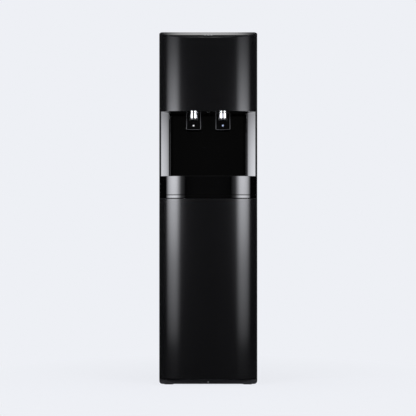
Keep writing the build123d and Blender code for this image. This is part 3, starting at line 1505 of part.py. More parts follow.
PIECES = {
    "base_pan": base_pan,
    "rubber_feet": rubber_feet,
    "right_side_panel": side_panel,
    "left_side_panel": lambda: mirror(side_panel(), Plane.YZ),
    "rear_panel": rear_panel,
    "rear_bumpers": rear_bumpers,
    "fasteners": fasteners,
    "tank_shelf": tank_shelf,
    "top_cover": top_cover,
    "lamp_lenses": lamp_lenses,
    "upper_front_panel": upper_front_panel,
    "bay_liner": bay_liner,
    "tray_deck": tray_deck,
    "service_door": service_door,
    "tray_fascia": tray_fascia,
    "drip_tray": drip_tray,
    "drip_grille": drip_grille,
    "tap_bracket": tap_bracket,
    "nozzles": nozzles,
    "nozzle_tips": nozzle_tips,
    "ambient_lever": lambda: lever(-TAP_X),
    "cold_lever": lambda: lever(TAP_X),
    "ambient_marker": lambda: lever_dot(-TAP_X),
    "cold_marker": lambda: lever_dot(TAP_X),
    "tap_switches": tap_switches,
    "ambient_plunger": lambda: plunger(-TAP_X),
    "cold_plunger": lambda: plunger(TAP_X),
    "filter_channel": filter_channel,
    "filter_heads": filter_heads,
    "sediment_filter": lambda: cartridge(-FILTER_X),
    "carbon_filter": lambda: cartridge(FILTER_X),
    "solenoid_valves": solenoid_valves,
    "water_fittings": water_fittings,
    "water_lines": water_lines,
    "drain_cap": drain_cap,
    "cold_tank": cold_tank,
    "tank_jacket": tank_jacket,
    "jacket_lid": jacket_lid,
    "compressor": compressor,
    "compressor_mounts": compressor_mounts,
    "condenser": condenser,
    "fan_frame": fan_frame,
    "fan_rotor": fan_rotor,
    "refrigerant_lines": refrigerant_lines,
    "control_box": control_box,
    "control_board": control_board,
    "power_inlet": power_inlet,
    "switch_housing": switch_housing,
    "cooling_switch": cooling_switch,
    "thermostat": thermostat,
    "thermostat_knob": thermostat_knob,
    "wiring_loom": wiring_loom,
}

os.makedirs("parts", exist_ok=True)
for name, build in PIECES.items():
    save(name, build())
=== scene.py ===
"""Looks of a slim point-of-use water cooler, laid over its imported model.

Metres, in the model's own frame: X runs to the right seen from the front, the front faces -Y
and Z is up. Sizes that the model doesn't give are properties with defaults.
"""

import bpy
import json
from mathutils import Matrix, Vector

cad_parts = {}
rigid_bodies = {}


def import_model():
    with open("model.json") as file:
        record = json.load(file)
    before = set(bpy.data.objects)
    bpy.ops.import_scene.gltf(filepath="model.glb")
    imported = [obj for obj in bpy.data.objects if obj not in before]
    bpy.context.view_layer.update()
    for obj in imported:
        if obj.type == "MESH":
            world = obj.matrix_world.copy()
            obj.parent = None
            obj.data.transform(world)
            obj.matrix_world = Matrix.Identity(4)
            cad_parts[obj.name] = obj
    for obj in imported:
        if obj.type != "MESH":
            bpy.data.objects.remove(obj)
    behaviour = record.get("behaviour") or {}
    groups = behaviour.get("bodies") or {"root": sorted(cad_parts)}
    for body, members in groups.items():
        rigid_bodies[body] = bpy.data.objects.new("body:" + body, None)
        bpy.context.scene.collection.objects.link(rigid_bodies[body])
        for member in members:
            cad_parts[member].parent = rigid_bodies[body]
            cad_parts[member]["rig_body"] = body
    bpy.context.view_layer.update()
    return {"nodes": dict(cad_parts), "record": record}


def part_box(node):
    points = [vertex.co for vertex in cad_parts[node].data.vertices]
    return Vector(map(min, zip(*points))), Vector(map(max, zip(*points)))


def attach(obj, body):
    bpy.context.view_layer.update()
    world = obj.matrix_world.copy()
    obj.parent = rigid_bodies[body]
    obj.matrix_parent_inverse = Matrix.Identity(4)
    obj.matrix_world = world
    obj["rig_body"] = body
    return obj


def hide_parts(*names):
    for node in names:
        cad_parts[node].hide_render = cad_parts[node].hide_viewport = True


bl_info = {
    "name": "Point-of-use water cooler",
    "version": (1, 0, 0),
    "blender": (4, 5, 0),
    "location": "View3D > Sidebar > Cooler",
    "description": "Fine shapes, finishes and a photo studio for a slim water cooler",
    "category": "Object",
}

import json
from math import asin, cos, pi, radians, sin, tan

import bmesh
import bpy
from bmesh.types import BMEdge, BMFace, BMVert
from bpy.props import FloatProperty, FloatVectorProperty, IntProperty, PointerProperty
from mathutils import Matrix, Vector

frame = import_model()
SLOT_OF = {row["node"]: row["material_slot"] for row in frame["record"]["subparts"]}
COLOUR_OF = {row["slot"]: row["base_color"] for row in frame["record"]["materials"]}
MM = 0.001


def low(node):
    """Lowest corner of a node of the model."""
    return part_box(node)[0]


def high(node):
    """Highest corner of a node of the model."""
    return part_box(node)[1]


def middle(node):
    """Centre of a node's box."""
    return (low(node) + high(node)) / 2


# Planes, levels and gaps that the model gives
SIDE_X = high("right_side_panel").x
FLANGE_Y = low("right_side_panel").y
CROWN_Y = low("service_door").y
BACK_Y = high("rear_panel").y
TOP_Z = high("top_cover").z
BAY_TOP = low("upper_front_panel").z
MOULDING_Y = FLANGE_Y - 0.5 * MM  # back of the front mouldings
SEAM = 0.2 * MM  # where the plinth and the cover meet the sheets

NO_TURN = Matrix.Identity(4)
UPRIGHT = Matrix.Rotation(pi / 2, 4, "X")  # turns a plan drawn in X and Y into a front view
BACKWARDS = UPRIGHT.inverted()  # stands a shape that was drawn upright on the back

# Routes in millimetres, as the model's own lines run
WATER_ROUTES = [
    [(-129, 126.5, 230), (-129, 140.5, 230)],
    [(-129, 84.5, 230), (-129, -75.5, 230), (-129, -75.5, 559.3), (-93, -75.5, 559.3)],
    [(-7, -75.5, 559.3), (7, -75.5, 559.3)],
    [(93, -75.5, 559.3), (130, -75.5, 559.3), (130, -6, 559.3), (130, -6, 994)],
    [(122, -6, 1002), (-47, -6, 1002), (-47, -43, 1002), (-47, -43, 982)],
    [(130, -6, 1010), (130, -6, 1034), (130, 80.9, 1034), (-30, 80.9, 1034), (-30, 80.9, 1015)],
    [(47, -43, 982), (47, -43, 1055), (30, -43, 1055), (30, 80.9, 1055), (30, 80.9, 1015)],
    [(-47, -63, 936.5), (-47, -92.5, 936.5), (-47, -92.5, 845.6)],
    [(47, -63, 936.5), (47, -92.5, 936.5), (47, -92.5, 845.6)],
]
COPPER_ROUTES = [
    [(-103, 98.5, 171.5), (-103, 98.5, 750), (-77, 98.5, 750)],
    [
        (-45, 98.5, 171.5), (-45, 98.5, 201.5), (40, 98.5, 201.5), (40, 141.3, 201.5),
        (40, 141.3, 146.5),
    ],
]
DRIER = (-3, 141.3, 34.5, 104.5)
LOOM_ROUTE = [(112, 15, 450), (112, 15, 929), (112, -6, 929), (73, -6, 929), (73, -29.5, 929)]


# Modelling helpers


def pick(geometry, kind):
    """The parts of one kind in what an operator returns."""
    return [part for part in geometry if isinstance(part, kind)]


def near(value, target, reach=0.05 * MM):
    """Whether two places agree."""
    return abs(value - target) < reach


def lies_at(part, axis, place, reach=0.05 * MM):
    """Whether all of an edge or a face lies at a place on an axis."""
    return all(near(getattr(vert.co, axis), place, reach) for vert in part.verts)


def edges_at(bm, axis, place, reach=0.05 * MM):
    """Edges that lie at a place on an axis."""
    return [edge for edge in bm.edges if lies_at(edge, axis, place, reach)]


def added(bm, known):
    """Vertices that a mesh didn't have before."""
    return [vert for vert in bm.verts if vert not in known]


def touching(verts, kind):
    """Edges or faces that touch some vertices."""
    links = "link_edges" if kind is BMEdge else "link_faces"
    return list({part for vert in verts for part in getattr(vert, links)})


def chain(bm, points):
    """Open line through a few points."""
    verts = [bm.verts.new(point) for point in points]
    for first, second in zip(verts, verts[1:]):
        bm.edges.new((first, second))
    return verts


def loop_of(bm, points):
    """Closed line through a few points, as its edges."""
    verts = chain(bm, points)
    bm.edges.new((verts[-1], verts[0]))
    return [edge for vert in verts for edge in vert.link_edges if edge.verts[0] is vert]


def rectangle(lowest, highest):
    """Corners of a rectangle that lies flat or faces the front."""
    (x, y, z), (far_x, far_y, far_z) = lowest, highest
    return [(x, y, z), (far_x, y, z), (far_x, far_y, far_z), (x, far_y, far_z)]


def face_on(bm, points):
    """Flat face on a few points."""
    return bm.faces.new([bm.verts.new(point) for point in points])


def push(bm, faces, offset):
    """Extrude faces along an offset and return the new far faces."""
    made = bmesh.ops.extrude_face_region(bm, geom=faces)["geom"]
    bmesh.ops.translate(bm, verts=pick(made, BMVert), vec=offset)
    return pick(made, BMFace)


def push_edges(bm, edges, offset=(0, 0, 0)):
    """Extrude edges along an offset and return all that is new."""
    made = bmesh.ops.extrude_edge_only(bm, edges=edges)["geom"]
    bmesh.ops.translate(bm, verts=pick(made, BMVert), vec=offset)
    return made


def bevel(bm, geometry, width, segments=4, vertices=False):
    """Round edges, or the corners of a flat face."""
    bmesh.ops.bevel(
        bm,
        geom=geometry,
        offset=width,
        offset_type="OFFSET",
        segments=segments,
        profile=0.5,
        affect="VERTICES" if vertices else "EDGES",
        clamp_overlap=True,
        material=-1,
    )


def inset(bm, face, width, depth=0.0, lone=False):
    """Draw a face in, or a lone face, leaving a band round it."""
    bmesh.ops.inset_region(
        bm, faces=[face], thickness=width, depth=depth, use_boundary=lone, use_even_offset=True
    )


def fill(bm, edges):
    """Fill flat outlines, with the inner ones as holes."""
    edges = list(dict.fromkeys(edges))
    made = bmesh.ops.triangle_fill(bm, use_beauty=True, use_dissolve=True, edges=edges)
    return pick(made["geom"], BMFace)


def swing(bm, geometry, centre, axis, angle, steps, merge=False):
    """Carry geometry round an axis, leaving its track behind it, and return its last place."""
    made = bmesh.ops.spin(
        bm,
        geom=geometry,
        cent=centre,
        axis=axis,
        dvec=(0, 0, 0),
        angle=angle,
        steps=steps,
        use_merge=merge,
        use_duplicate=False,
    )
    return made["geom_last"]


def carry_round(bm, vert, centre, angle, steps):
    """Carry a point round an upright axis, leaving an arc behind it."""
    return pick(swing(bm, [vert], centre, (0, 0, 1), angle, steps), BMVert)[0]


def split(bm, point, normal, parts=None, clear=False):
    """Cut a mesh, or parts of it, along a plane, and clear what lies on the normal's side."""
    return bmesh.ops.bisect_plane(
        bm,
        geom=parts or bm.verts[:] + bm.edges[:] + bm.faces[:],
        dist=1e-7,
        plane_co=point,
        plane_no=normal,
        clear_outer=clear,
    )


def cut_above(bm, point, normal):
    """Cut off what lies on the normal's side of a plane, and close the cut."""
    made = split(bm, point, normal, clear=True)
    bmesh.ops.edgeloop_fill(bm, edges=pick(made["geom_cut"], BMEdge))


def knock_out(bm, lowest, highest):
    """Cut a rectangular hole through the upright front or rear faces of a skin within a box."""
    for axis in ((1, 0, 0), (0, 0, 1)):
        for point in (lowest, highest):
            faces = [
                face for face in bm.faces if lowest[1] < face.calc_center_median().y < highest[1]
            ]
            parts = {part for face in faces for part in (*face.verts, *face.edges, face)}
            split(bm, point, axis, list(parts))
    gone = [
        face for face in bm.faces
        if all(a < b < c for a, b, c in zip(lowest, face.calc_center_median(), highest))
    ]
    bmesh.ops.delete(bm, geom=gone, context="FACES")


def box_into(bm, lowest, highest):
    """Add a box between two corners and return its faces."""
    size = Vector(highest) - Vector(lowest)
    centre = (Vector(highest) + Vector(lowest)) / 2
    matrix = Matrix.Translation(centre) @ Matrix.Diagonal((*size, 1))
    return touching(bmesh.ops.create_cube(bm, size=1.0, matrix=matrix)["verts"], BMFace)


def ring_at(bm, centre, radius, segments):
    """Add a circle of edges and return them."""
    place = Matrix.Translation(centre)
    made = bmesh.ops.create_circle(bm, segments=segments, radius=radius, matrix=place)
    return touching(made["verts"], BMEdge)


def lathe_into(bm, profile, centre, steps=64, matrix=NO_TURN):
    """Add a turned shape from (radius, height) points on an upright axis at a centre."""
    known = set(bm.verts)
    points = chain(bm, [(radius, 0, height) for radius, height in profile])
    swing(bm, points + touching(points, BMEdge), (0, 0, 0), (0, 0, 1), 2 * pi, steps, True)
    bmesh.ops.remove_doubles(bm, verts=added(bm, known), dist=1e-6)
    bmesh.ops.transform(bm, matrix=Matrix.Translation(centre) @ matrix, verts=added(bm, known))


def sleeve(bore, radius, foot, head):
    """Closed profile of a turned sleeve."""
    return [(bore, foot), (radius, foot), (radius, head), (bore, head), (bore, foot)]


def rounded_face(bm, lowest, highest, radius, segments=8, rounded=None):
    """Flat rectangle with rounded corners, or only those corners that pass a test."""
    known = set(bm.verts)
    face = face_on(bm, rectangle(lowest, highest))
    corners = [vert for vert in face.verts if rounded is None or rounded(vert.co)]
    bevel(bm, corners, radius, segments, True)
    return next(face for vert in added(bm, known) for face in vert.link_faces)


def rounded_outline(bm, lowest, highest, radius, segments=6, rounded=None):
    """Edges of a rectangle with rounded corners."""
    face = rounded_face(bm, lowest, highest, radius, segments, rounded)
    edges = face.edges[:]
    bmesh.ops.delete(bm, geom=[face], context="FACES_ONLY")
    return edges


def opening(bm, place, half_x, half_y, radius, segments):
    """Edges of a rounded opening about a place."""
    x, y, z = place
    lowest, highest = (x - half_x, y - half_y, z), (x + half_x, y + half_y, z)
    return rounded_outline(bm, lowest, highest, radius, segments)


def plate_from(bm, edges, offset):
    """Fill flat outlines, with the inner ones as holes, and give the plate a thickness."""
    push(bm, fill(bm, edges), offset)
    turn_outwards(bm)


def stand_up(bm):
    """Turn a plan drawn in X and Y into a front view, with what was depth pointing forwards."""
    bmesh.ops.transform(bm, matrix=UPRIGHT, verts=bm.verts[:])


def turn_outwards(bm):
    """Merge seams and point every face outwards."""
    bmesh.ops.remove_doubles(bm, verts=bm.verts[:], dist=1e-6)
    bmesh.ops.recalc_face_normals(bm, faces=bm.faces[:])


def round_rims(bm, width, segments, axis="z", way=0, rear_y=None):
    """Round the rims of the faces that look along an axis, or one way along it.

    Edges in the rear plane stay sharp, because that plane is open or seated.
    """
    rims = []
    for edge in bm.edges:
        if len(edge.link_faces) != 2 or (rear_y is not None and lies_at(edge, "y", rear_y)):
            continue
        looks = [getattr(face.normal, axis) for face in edge.link_faces]
        ends = [look * way > 0.9 if way else abs(look) > 0.9 for look in looks]
        if any(ends) and not all(ends):
            rims.append(edge)
    bevel(bm, rims, width, segments)


def add_piece(name, bm, node, wall=0.0, rounding=0.0, crease=35.0, kind=None):
    """Make a bmesh an object that stands for a node of the model and rides with it."""
    for face in bm.faces:
        face.smooth = True
    for edge in bm.edges:
        edge.smooth = len(edge.link_faces) == 2 and edge.calc_face_angle(0.0) < radians(crease)
    mesh = bpy.data.meshes.new(name)
    bm.to_mesh(mesh)
    bm.free()
    piece = bpy.data.objects.new(name, mesh)
    bpy.context.scene.collection.objects.link(piece)
    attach(piece, frame["nodes"][node]["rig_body"])
    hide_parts(node)
    mesh.materials.append(finish_for(SLOT_OF[node], kind))
    if wall:
        solid = piece.modifiers.new("Wall", "SOLIDIFY")
        solid.thickness = wall
        solid.offset = -1
        solid.use_even_offset = True
    if rounding:
        soft = piece.modifiers.new("Rounding", "BEVEL")
        soft.width = rounding
        soft.segments = 2
        soft.limit_method = "ANGLE"
        soft.angle_limit = radians(crease)
    shading = piece.modifiers.new("Shading", "WEIGHTED_NORMAL")
    shading.keep_sharp = True


def soften(name, node, rounding, crease=35.0):
    """Give a piece the node's own shape, merged and with soft edges."""
    bm = bmesh.new()
    bm.from_mesh(frame["nodes"][node].data)
    bmesh.ops.remove_doubles(bm, verts=bm.verts[:], dist=1e-6)
    bmesh.ops.dissolve_limit(
        bm,
        angle_limit=radians(1.0),
        use_dissolve_boundaries=False,
        verts=bm.verts[:],
        edges=bm.edges[:],
    )
    add_piece(name, bm, node, rounding=rounding * MM, crease=crease)


def pipe(bm, route, radius, bend=0.0, segments=20):
    """Sweep a closed round bar along a route in millimetres, bent at each inner point."""
    points = [Vector(point) * MM for point in route]
    ways = [(after - before).normalized() for before, after in zip(points, points[1:])]
    place = Matrix.Translation(points[0]) @ ways[0].to_track_quat("Z", "Y").to_matrix().to_4x4()
    made = bmesh.ops.create_circle(
        bm, cap_ends=True, segments=segments, radius=radius, matrix=place
    )
    face = made["verts"][0].link_faces[0]
    for i, way in enumerate(ways):
        last = i == len(ways) - 1
        run = (points[i + 1] - points[i]).length - (bend if i else 0) - (0 if last else bend)
        face = push(bm, [face], way * run)[0]
        if not last:
            after = ways[i + 1]
            centre = points[i + 1] + (after - way) * bend
            axis = way.cross(after).normalized()
            face = pick(swing(bm, [face], centre, axis, way.angle(after), 8), BMFace)[0]


def fluted_into(bm, place, radius, height, flutes, depth, matrix=NO_TURN):
    """Add a grip with flutes round it, standing on a place."""
    known = set(bm.verts)
    made = bmesh.ops.create_circle(bm, cap_ends=True, segments=flutes * 4, radius=radius)
    for i, vert in enumerate(made["verts"]):
        vert.co *= 1 - (0, 0.5, 1, 0.5)[i % 4] * depth / radius
    push(bm, [made["verts"][0].link_faces[0]], (0, 0, height))
    rims = [
        edge for edge in touching(added(bm, known), BMEdge)
        if near(edge.verts[0].co.z, edge.verts[1].co.z)
    ]
    bevel(bm, rims, 0.8 * MM, 2)
    bmesh.ops.transform(bm, matrix=Matrix.Translation(place) @ matrix, verts=added(bm, known))


# Finishes


class Value:
    """A shader value that takes part in Python sums."""

    def __init__(self, nodes, socket):
        self.nodes = nodes
        self.socket = socket

    def sum(self, operation, *others):
        """Join this value and others in a Math node."""
        return self.nodes.node("ShaderNodeMath", [self, *others], operation=operation)

    def __add__(self, other):
        return self.sum("ADD", other)

    def __mul__(self, other):
        return self.sum("MULTIPLY", other)

    def __rsub__(self, other):
        return Value(self.nodes, other).sum("SUBTRACT", self)

    def power(self, other):
        """This value raised to a power."""
        return self.sum("POWER", other)


class Nodes:
    """A node tree on its way."""

    def __init__(self, tree):
        self.tree = tree

    def put(self, socket, value):
        """Give a socket a value, or link it to one."""
        if isinstance(value, Value):
            value = value.socket
        if isinstance(value, bpy.types.NodeSocket):
            self.tree.links.new(value, socket)
        else:
            socket.default_value = value

    def node(self, kind, values=(), output=0, stops=(), **settings):
        """Add a node with its settings, then its inputs, and return one of its outputs."""
        made = self.tree.nodes.new(kind)
        for name, value in settings.items():
            setattr(made, name, value)
        while stops and len(made.color_ramp.elements) < len(stops):
            made.color_ramp.elements.new(0.5)
        for i, (position, grey) in enumerate(stops):
            made.color_ramp.elements[i].position = position
            made.color_ramp.elements[i].color = (grey, grey, grey, 1.0)
        for key, value in values.items() if isinstance(values, dict) else enumerate(values):
            self.put(made.inputs[key], value)
        return Value(self, made.outputs[output])


class Finish(Nodes):
    """A material on its way, with a principled shader and object coordinates."""

    def __init__(self, name, colour=(0, 0, 0), roughness=1.0, metallic=0.0):
        self.material = bpy.data.materials.new(name)
        self.material.use_nodes = True
        super().__init__(self.material.node_tree)
        self.place = self.node("ShaderNodeTexCoord", output="Object")
        self.set("Base Color", (*colour, 1.0))
        self.set("Roughness", roughness)
        self.set("Metallic", metallic)

    def set(self, name, value):
        """Give an input of the principled shader a value."""
        self.put(self.tree.nodes["Principled BSDF"].inputs[name], value)

    def cover(self, shader):
        """Take another shader for the surface."""
        self.put(self.tree.nodes["Material Output"].inputs["Surface"], shader)

    def noise(self, scale, detail=3.0, stretch=(1.0, 1.0, 1.0)):
        """Soft noise, as a value about 0.5, on stretched object coordinates."""
        place = self.node("ShaderNodeMapping", {"Vector": self.place, "Scale": stretch})
        return self.node("ShaderNodeTexNoise", {"Vector": place, "Scale": scale, "Detail": detail})

    def cells(self, scale, output="Distance"):
        """Cells about scattered points."""
        return self.node("ShaderNodeTexVoronoi", {"Vector": self.place, "Scale": scale}, output)

    def along(self, axis):
        """Place along an axis of the object."""
        return self.node("ShaderNodeSeparateXYZ", [self.place], axis)

    def ray(self, kind):
        """Whether a ray of one kind meets the surface."""
        return self.node("ShaderNodeLightPath", output=kind)

    def ramp(self, value, stops):
        """A grey read off a ramp."""
        return self.node("ShaderNodeValToRGB", {"Fac": value}, stops=stops)

    def blend(self, factor, first, second):
        """Mix of two colours."""
        return self.node("ShaderNodeMix", {0: factor, 6: first, 7: second}, 2, data_type="RGBA")

    def mix(self, factor, first, second):
        """Mix of two shaders."""
        return self.node("ShaderNodeMixShader", [factor, first, second])

    def glow(self, colour, strength):
        """Shader that gives light."""
        return self.node("ShaderNodeEmission", {"Color": colour, "Strength": strength})

    def mottle(self, factor, colour, dark, pale):
        """Let the base colour run between a darker and a paler one."""
        self.set("Base Color", self.blend(factor, shade(colour, dark), shade(colour, pale)))

    def bump(self, height, strength, distance):
        """Raise the surface by a height, over a distance in millimetres."""
        values = {"Height": height, "Strength": strength, "Distance": distance * MM}
        self.set("Normal", self.node("ShaderNodeBump", values))


def shade(colour, factor):
    """A colour made lighter or darker."""
    return tuple(min(1.0, part * factor) for part in colour) + (1.0,)


def moulded(name, colour, roughness, grain=0.02, tone=0.12):
    """Moulded plastic: a fine grain, and a finish that varies a little."""
    made = Finish(name, colour, roughness)
    cloud = made.noise(9.0)
    made.mottle(cloud, colour, 1 - tone, 1 + tone)
    made.set("Roughness", cloud * 0.06 + (roughness - 0.03))
    if grain:
        made.bump(made.noise(2600.0, 2.0), grain, 0.2)
    return made


def glossy(name, colour, roughness=0.04, index=1.5):
    """Polished plastic with faint wipe marks in its gloss."""
    made = Finish(name, colour, roughness)
    wipes = made.noise(14.0, 4.0, (1.0, 1.0, 0.35))
    made.set("Roughness", wipes.power(3.0) * 0.12 + roughness)
    made.set("IOR", index)
    return made


def sheet_metal(name, colour, roughness=0.38):
    """Galvanised sheet with its spangle."""
    made = Finish(name, colour, roughness, 1.0)
    grey = made.node("ShaderNodeRGBToBW", [made.cells(90.0, "Color")])
    made.mottle(grey, colour, 0.82, 1.08)
    made.set("Roughness", grey * 0.16 + (roughness - 0.08))
    return made


def satin(name, colour):
    """Satin moulding: a clear sheen over a faint haze, with a fine grain."""
    made = moulded(name, colour, 0.33, 0.01)
    made.set("Coat Weight", 0.72)
    made.set("Coat Roughness", 0.13)
    made.set("Specular IOR Level", 0.06)
    return made


def powder_coat(name, colour, roughness=0.3):
    """Powder-coated steel with a fine orange peel."""
    made = moulded(name, colour, roughness, 0.0, 0.05)
    made.set("Specular IOR Level", 0.45)
    made.bump(made.noise(900.0, 1.0), 0.06, 0.3)
    return made


def bright_metal(name, colour, roughness=0.05):
    """Plated or polished metal with faint hazing."""
    made = Finish(name, colour, roughness, 1.0)
    made.set("Roughness", made.noise(40.0) * 0.05 + roughness)
    return made


def drawn_metal(name, colour, roughness=0.28):
    """Metal with the fine marks of drawing or turning."""
    made = Finish(name, colour, roughness, 1.0)
    marks = made.noise(60.0, 3.0, (1.0, 1.0, 30.0))
    made.mottle(marks, colour, 0.8, 1.1)
    made.set("Roughness", marks * 0.2 + (roughness - 0.1))
    return made


def foam_skin(name, colour):
    """Closed-cell foam with a pitted skin."""
    made = Finish(name, colour, 0.85)
    made.bump(made.cells(420.0), 0.5, 0.6)
    return made


def soft_rubber(name, colour):
    """Matte rubber with a little bloom."""
    made = Finish(name, colour, 0.75)
    made.mottle(made.noise(30.0), colour, 0.8, 1.6)
    made.bump(made.noise(700.0, 2.0), 0.15, 0.2)
    return made


def braided(name, colour):
    """Woven sleeve round the wires."""
    made = Finish(name, colour, 0.6)
    values = {"Vector": made.place, "Scale": 260.0}
    weave = made.node("ShaderNodeTexWave", values, bands_direction="DIAGONAL")
    made.mottle(weave, colour, 0.4, 2.6)
    made.bump(weave, 0.6, 0.3)
    return made


def circuit_board(name, colour):
    """Lacquered board with paler tracks."""
    made = Finish(name, colour, 0.35)
    values = {"Vector": made.place, "Scale": 180.0, "Mortar Size": 0.03}
    made.mottle(made.node("ShaderNodeTexBrick", values, 1), colour, 1.0, 2.2)
    return made


def lens(name, colour):
    """Pale translucent lens."""
    made = Finish(name, colour, 0.12)
    made.set("Roughness", made.noise(200.0) * 0.1 + 0.08)
    made.set("Coat Weight", 0.5)
    return made


# For each finish: its maker, how light it is beside the slot's colour, and the maker's values
KINDS = {
    "panel_black": (satin, 0.6),
    "cover_black": (moulded, 1.0, 0.22, 0.0),
    "gloss_black": (glossy, 0.4),
    # the bay's liner and deck darkened to a fifth of the slot's colour: painted shade of the recess
    "bay_gloss": (glossy, 0.2, 0.04, 1.56),
    # paler line on the levers' rims, 26 times the lever's colour: a painted highlight
    "paddle_trim": (moulded, 26.0, 0.4),
    "smoked_lens": (glossy, 0.04, 0.2),
    "grille_black": (glossy, 1.0, 0.1),
    "steel_painted": (powder_coat, 0.6),
    # the plinth's steel paint made paler than the sheets': painted light
    "base_coat": (powder_coat, 1.6, 0.5),
    "zinc_sheet": (sheet_metal, 1.0),
    "lens_clear": (lens, 1.0),
    "rubber": (soft_rubber, 1.0),
    "chrome": (bright_metal, 1.0),
    "tip_black": (moulded, 1.0, 0.3),
    "dot_white": (glossy, 1.0, 0.3),
    "dot_blue": (glossy, 1.0, 0.3),
    "switch_body": (moulded, 1.0, 0.5),
    "switch_button": (moulded, 1.0, 0.45),
    "filter_white": (moulded, 1.0, 0.3, 0.01, 0.03),
    "head_grey": (moulded, 1.0, 0.45),
    "fitting_grey": (moulded, 1.0, 0.4),
    "valve_body": (moulded, 1.0, 0.45),
    "tube_white": (glossy, 1.0, 0.25),
    "stainless": (drawn_metal, 1.0),
    "foam": (foam_skin, 1.0),
    "compressor_black": (moulded, 1.0, 0.2, 0.0),
    "condenser_black": (moulded, 1.0, 0.45),
    "fan_black": (moulded, 1.0, 0.4),
    "copper": (drawn_metal, 1.0),
    "box_grey": (moulded, 1.0, 0.5),
    "board_green": (circuit_board, 1.0),
    "socket_black": (moulded, 1.0, 0.4),
    "rocker_green": (glossy, 1.0, 0.2),
    "knob_black": (moulded, 1.0, 0.4),
    "loom_black": (braided, 1.0),
    "screws": (drawn_metal, 1.0),
}
made_finishes = {}


def finish_for(slot, kind=None):
    """The material of a slot, or a special kind of it, made the first time it is asked for."""
    kind = kind or slot
    if kind not in made_finishes:
        maker, factor, *values = KINDS[kind]
        made_finishes[kind] = maker(kind, shade(COLOUR_OF[slot], factor)[:3], *values).material
    return made_finishes[kind]


# Sizes and colours that a user would change


def length(name, description, default):
    """A property in metres from a default in millimetres."""
    return FloatProperty(name=name, description=description, default=default * MM, unit="LENGTH")


def angle(name, description, default):
    """A property in radians from a default in degrees."""
    return FloatProperty(
        name=name,
        description=description,
        default=radians(default),
        subtype="ANGLE",
        unit="ROTATION",
    )


class CoolerCasework(bpy.types.PropertyGroup):
    """Sizes of the casework that the model's boxes don't give."""

    crown_half: length("Crown half width", "Half width of the flat crown arc of the front", 85.0)
    crown_drop: length("Crown drop", "Depth that the crown arc loses at its ends", 6.9)
    flank: length("Flank", "Straight run behind the shoulder arc", 3.0)
    corner: length("Corner", "Rounding between the shoulder and the flank", 1.44)
    wall: length("Wall", "Thickness of the front mouldings", 3.0)
    edge: length("Edge", "Rounding of the mouldings' edges", 0.8)
    fine_edge: length("Fine edge", "Rounding of edges that meet another moulding", 0.3)
    cover_wall: length("Cover wall", "Thickness of the top cover", 2.5)
    cover_edge: length("Cover edge", "Rounding of the cover's long edges", 10.0)
    cover_drop: length("Cover drop", "Front edge of the cover below its flat", 19.6)
    cover_seam: length("Cover seam", "Gap between the cover and the panel below it", 1.2)
    slope: angle("Slope", "Slope of the top cover's front", 17.0)
    light_pitch: length("Light pitch", "Spacing of the indicator lights", 10.0)
    light_setback: length("Light setback", "Lights behind the cover's front edge", 16.0)
    lamp_setback: length("Lamp setback", "The bay's lamp behind the flanges", 66.0)
    sheet: length("Sheet", "Thickness of the steel sheets", 1.2)
    pan: length("Pan", "Thickness of the folded base", 1.5)
    fold: length("Fold", "Outer radius of the folds in the sheets", 0.6)
    pillar: length("Pillar", "Front flange of a side panel beside the bay", 6.0)
    rear_flange: length("Rear flange", "Rear flange of a side panel", 14.0)
    clip_inset: length("Clip inset", "Clips' slots in from the side", 12.5)
    foot: length("Foot", "Width of a rubber foot", 30.0)
    pad_width: length("Pad width", "Width of a rear pad", 30.0)
    pad_height: length("Pad height", "Height of a rear pad", 60.0)
    screw_inset: length("Screw inset", "Rear screws in from the panel's ends", 24.8)
    vent_length: length("Vent length", "Length of a vent in the rear sheet", 70.0)
    vent_width: length("Vent width", "Width of a vent", 4.0)
    vent_pitch: length("Vent pitch", "Spacing of the vents", 14.0)
    arc_steps: IntProperty(
        name="Arc steps", description="Facets of each arc of the bow", default=28
    )


class CoolerBay(bpy.types.PropertyGroup):
    """Sizes of the dispensing bay and the drip tray."""

    mouth: length("Mouth", "Half width of the bay at its mouth", 149.0)
    throat: length("Throat", "Half width where the flare ends", 120.4)
    flare_depth: length("Flare depth", "Depth of the flare", 16.2)
    flare_middle: length("Flare middle", "Half width where the flare's tangents meet", 136.0)
    flare_angle: angle("Flare angle", "Turn of the flare at its mouth", 25.0)
    flare_round: length("Flare rounding", "Reach of the flare's curve from its middle", 13.0)
    rear: length("Rear", "Half width at the back", 113.0)
    depth: length("Depth", "Depth of the bay", 105.0)
    corner: length("Corner", "Rounding where the flare meets the side", 5.0)
    wall: length("Wall", "Thickness of the liner", 3.0)
    nozzle_hole: length("Nozzle hole", "Radius of the ceiling's holes round the nozzles", 14.65)
    deck_half: length("Deck half width", "Half width of the deck between the flanges", 148.8)
    basin_corner: length("Basin corner", "Rounding of the basin's front corners", 18.0)
    basin_wall: length("Basin wall", "Thickness of the basin's walls", 2.5)
    skid: length("Skid", "Height of the basin's skids", 3.0)
    ledge: length("Ledge", "Ledge that the grille rests on", 3.0)
    ledge_drop: length("Ledge drop", "Ledge below the basin's rim", 3.5)
    slot_length: length("Slot length", "Length of a slot in the grille", 88.0)
    slot_width: length("Slot width", "Width of a slot", 5.0)
    slot_pitch: length("Slot pitch", "Spacing of the slots", 12.0)
    slot_bridge: length("Slot bridge", "Bridge between the two fields of slots", 10.0)


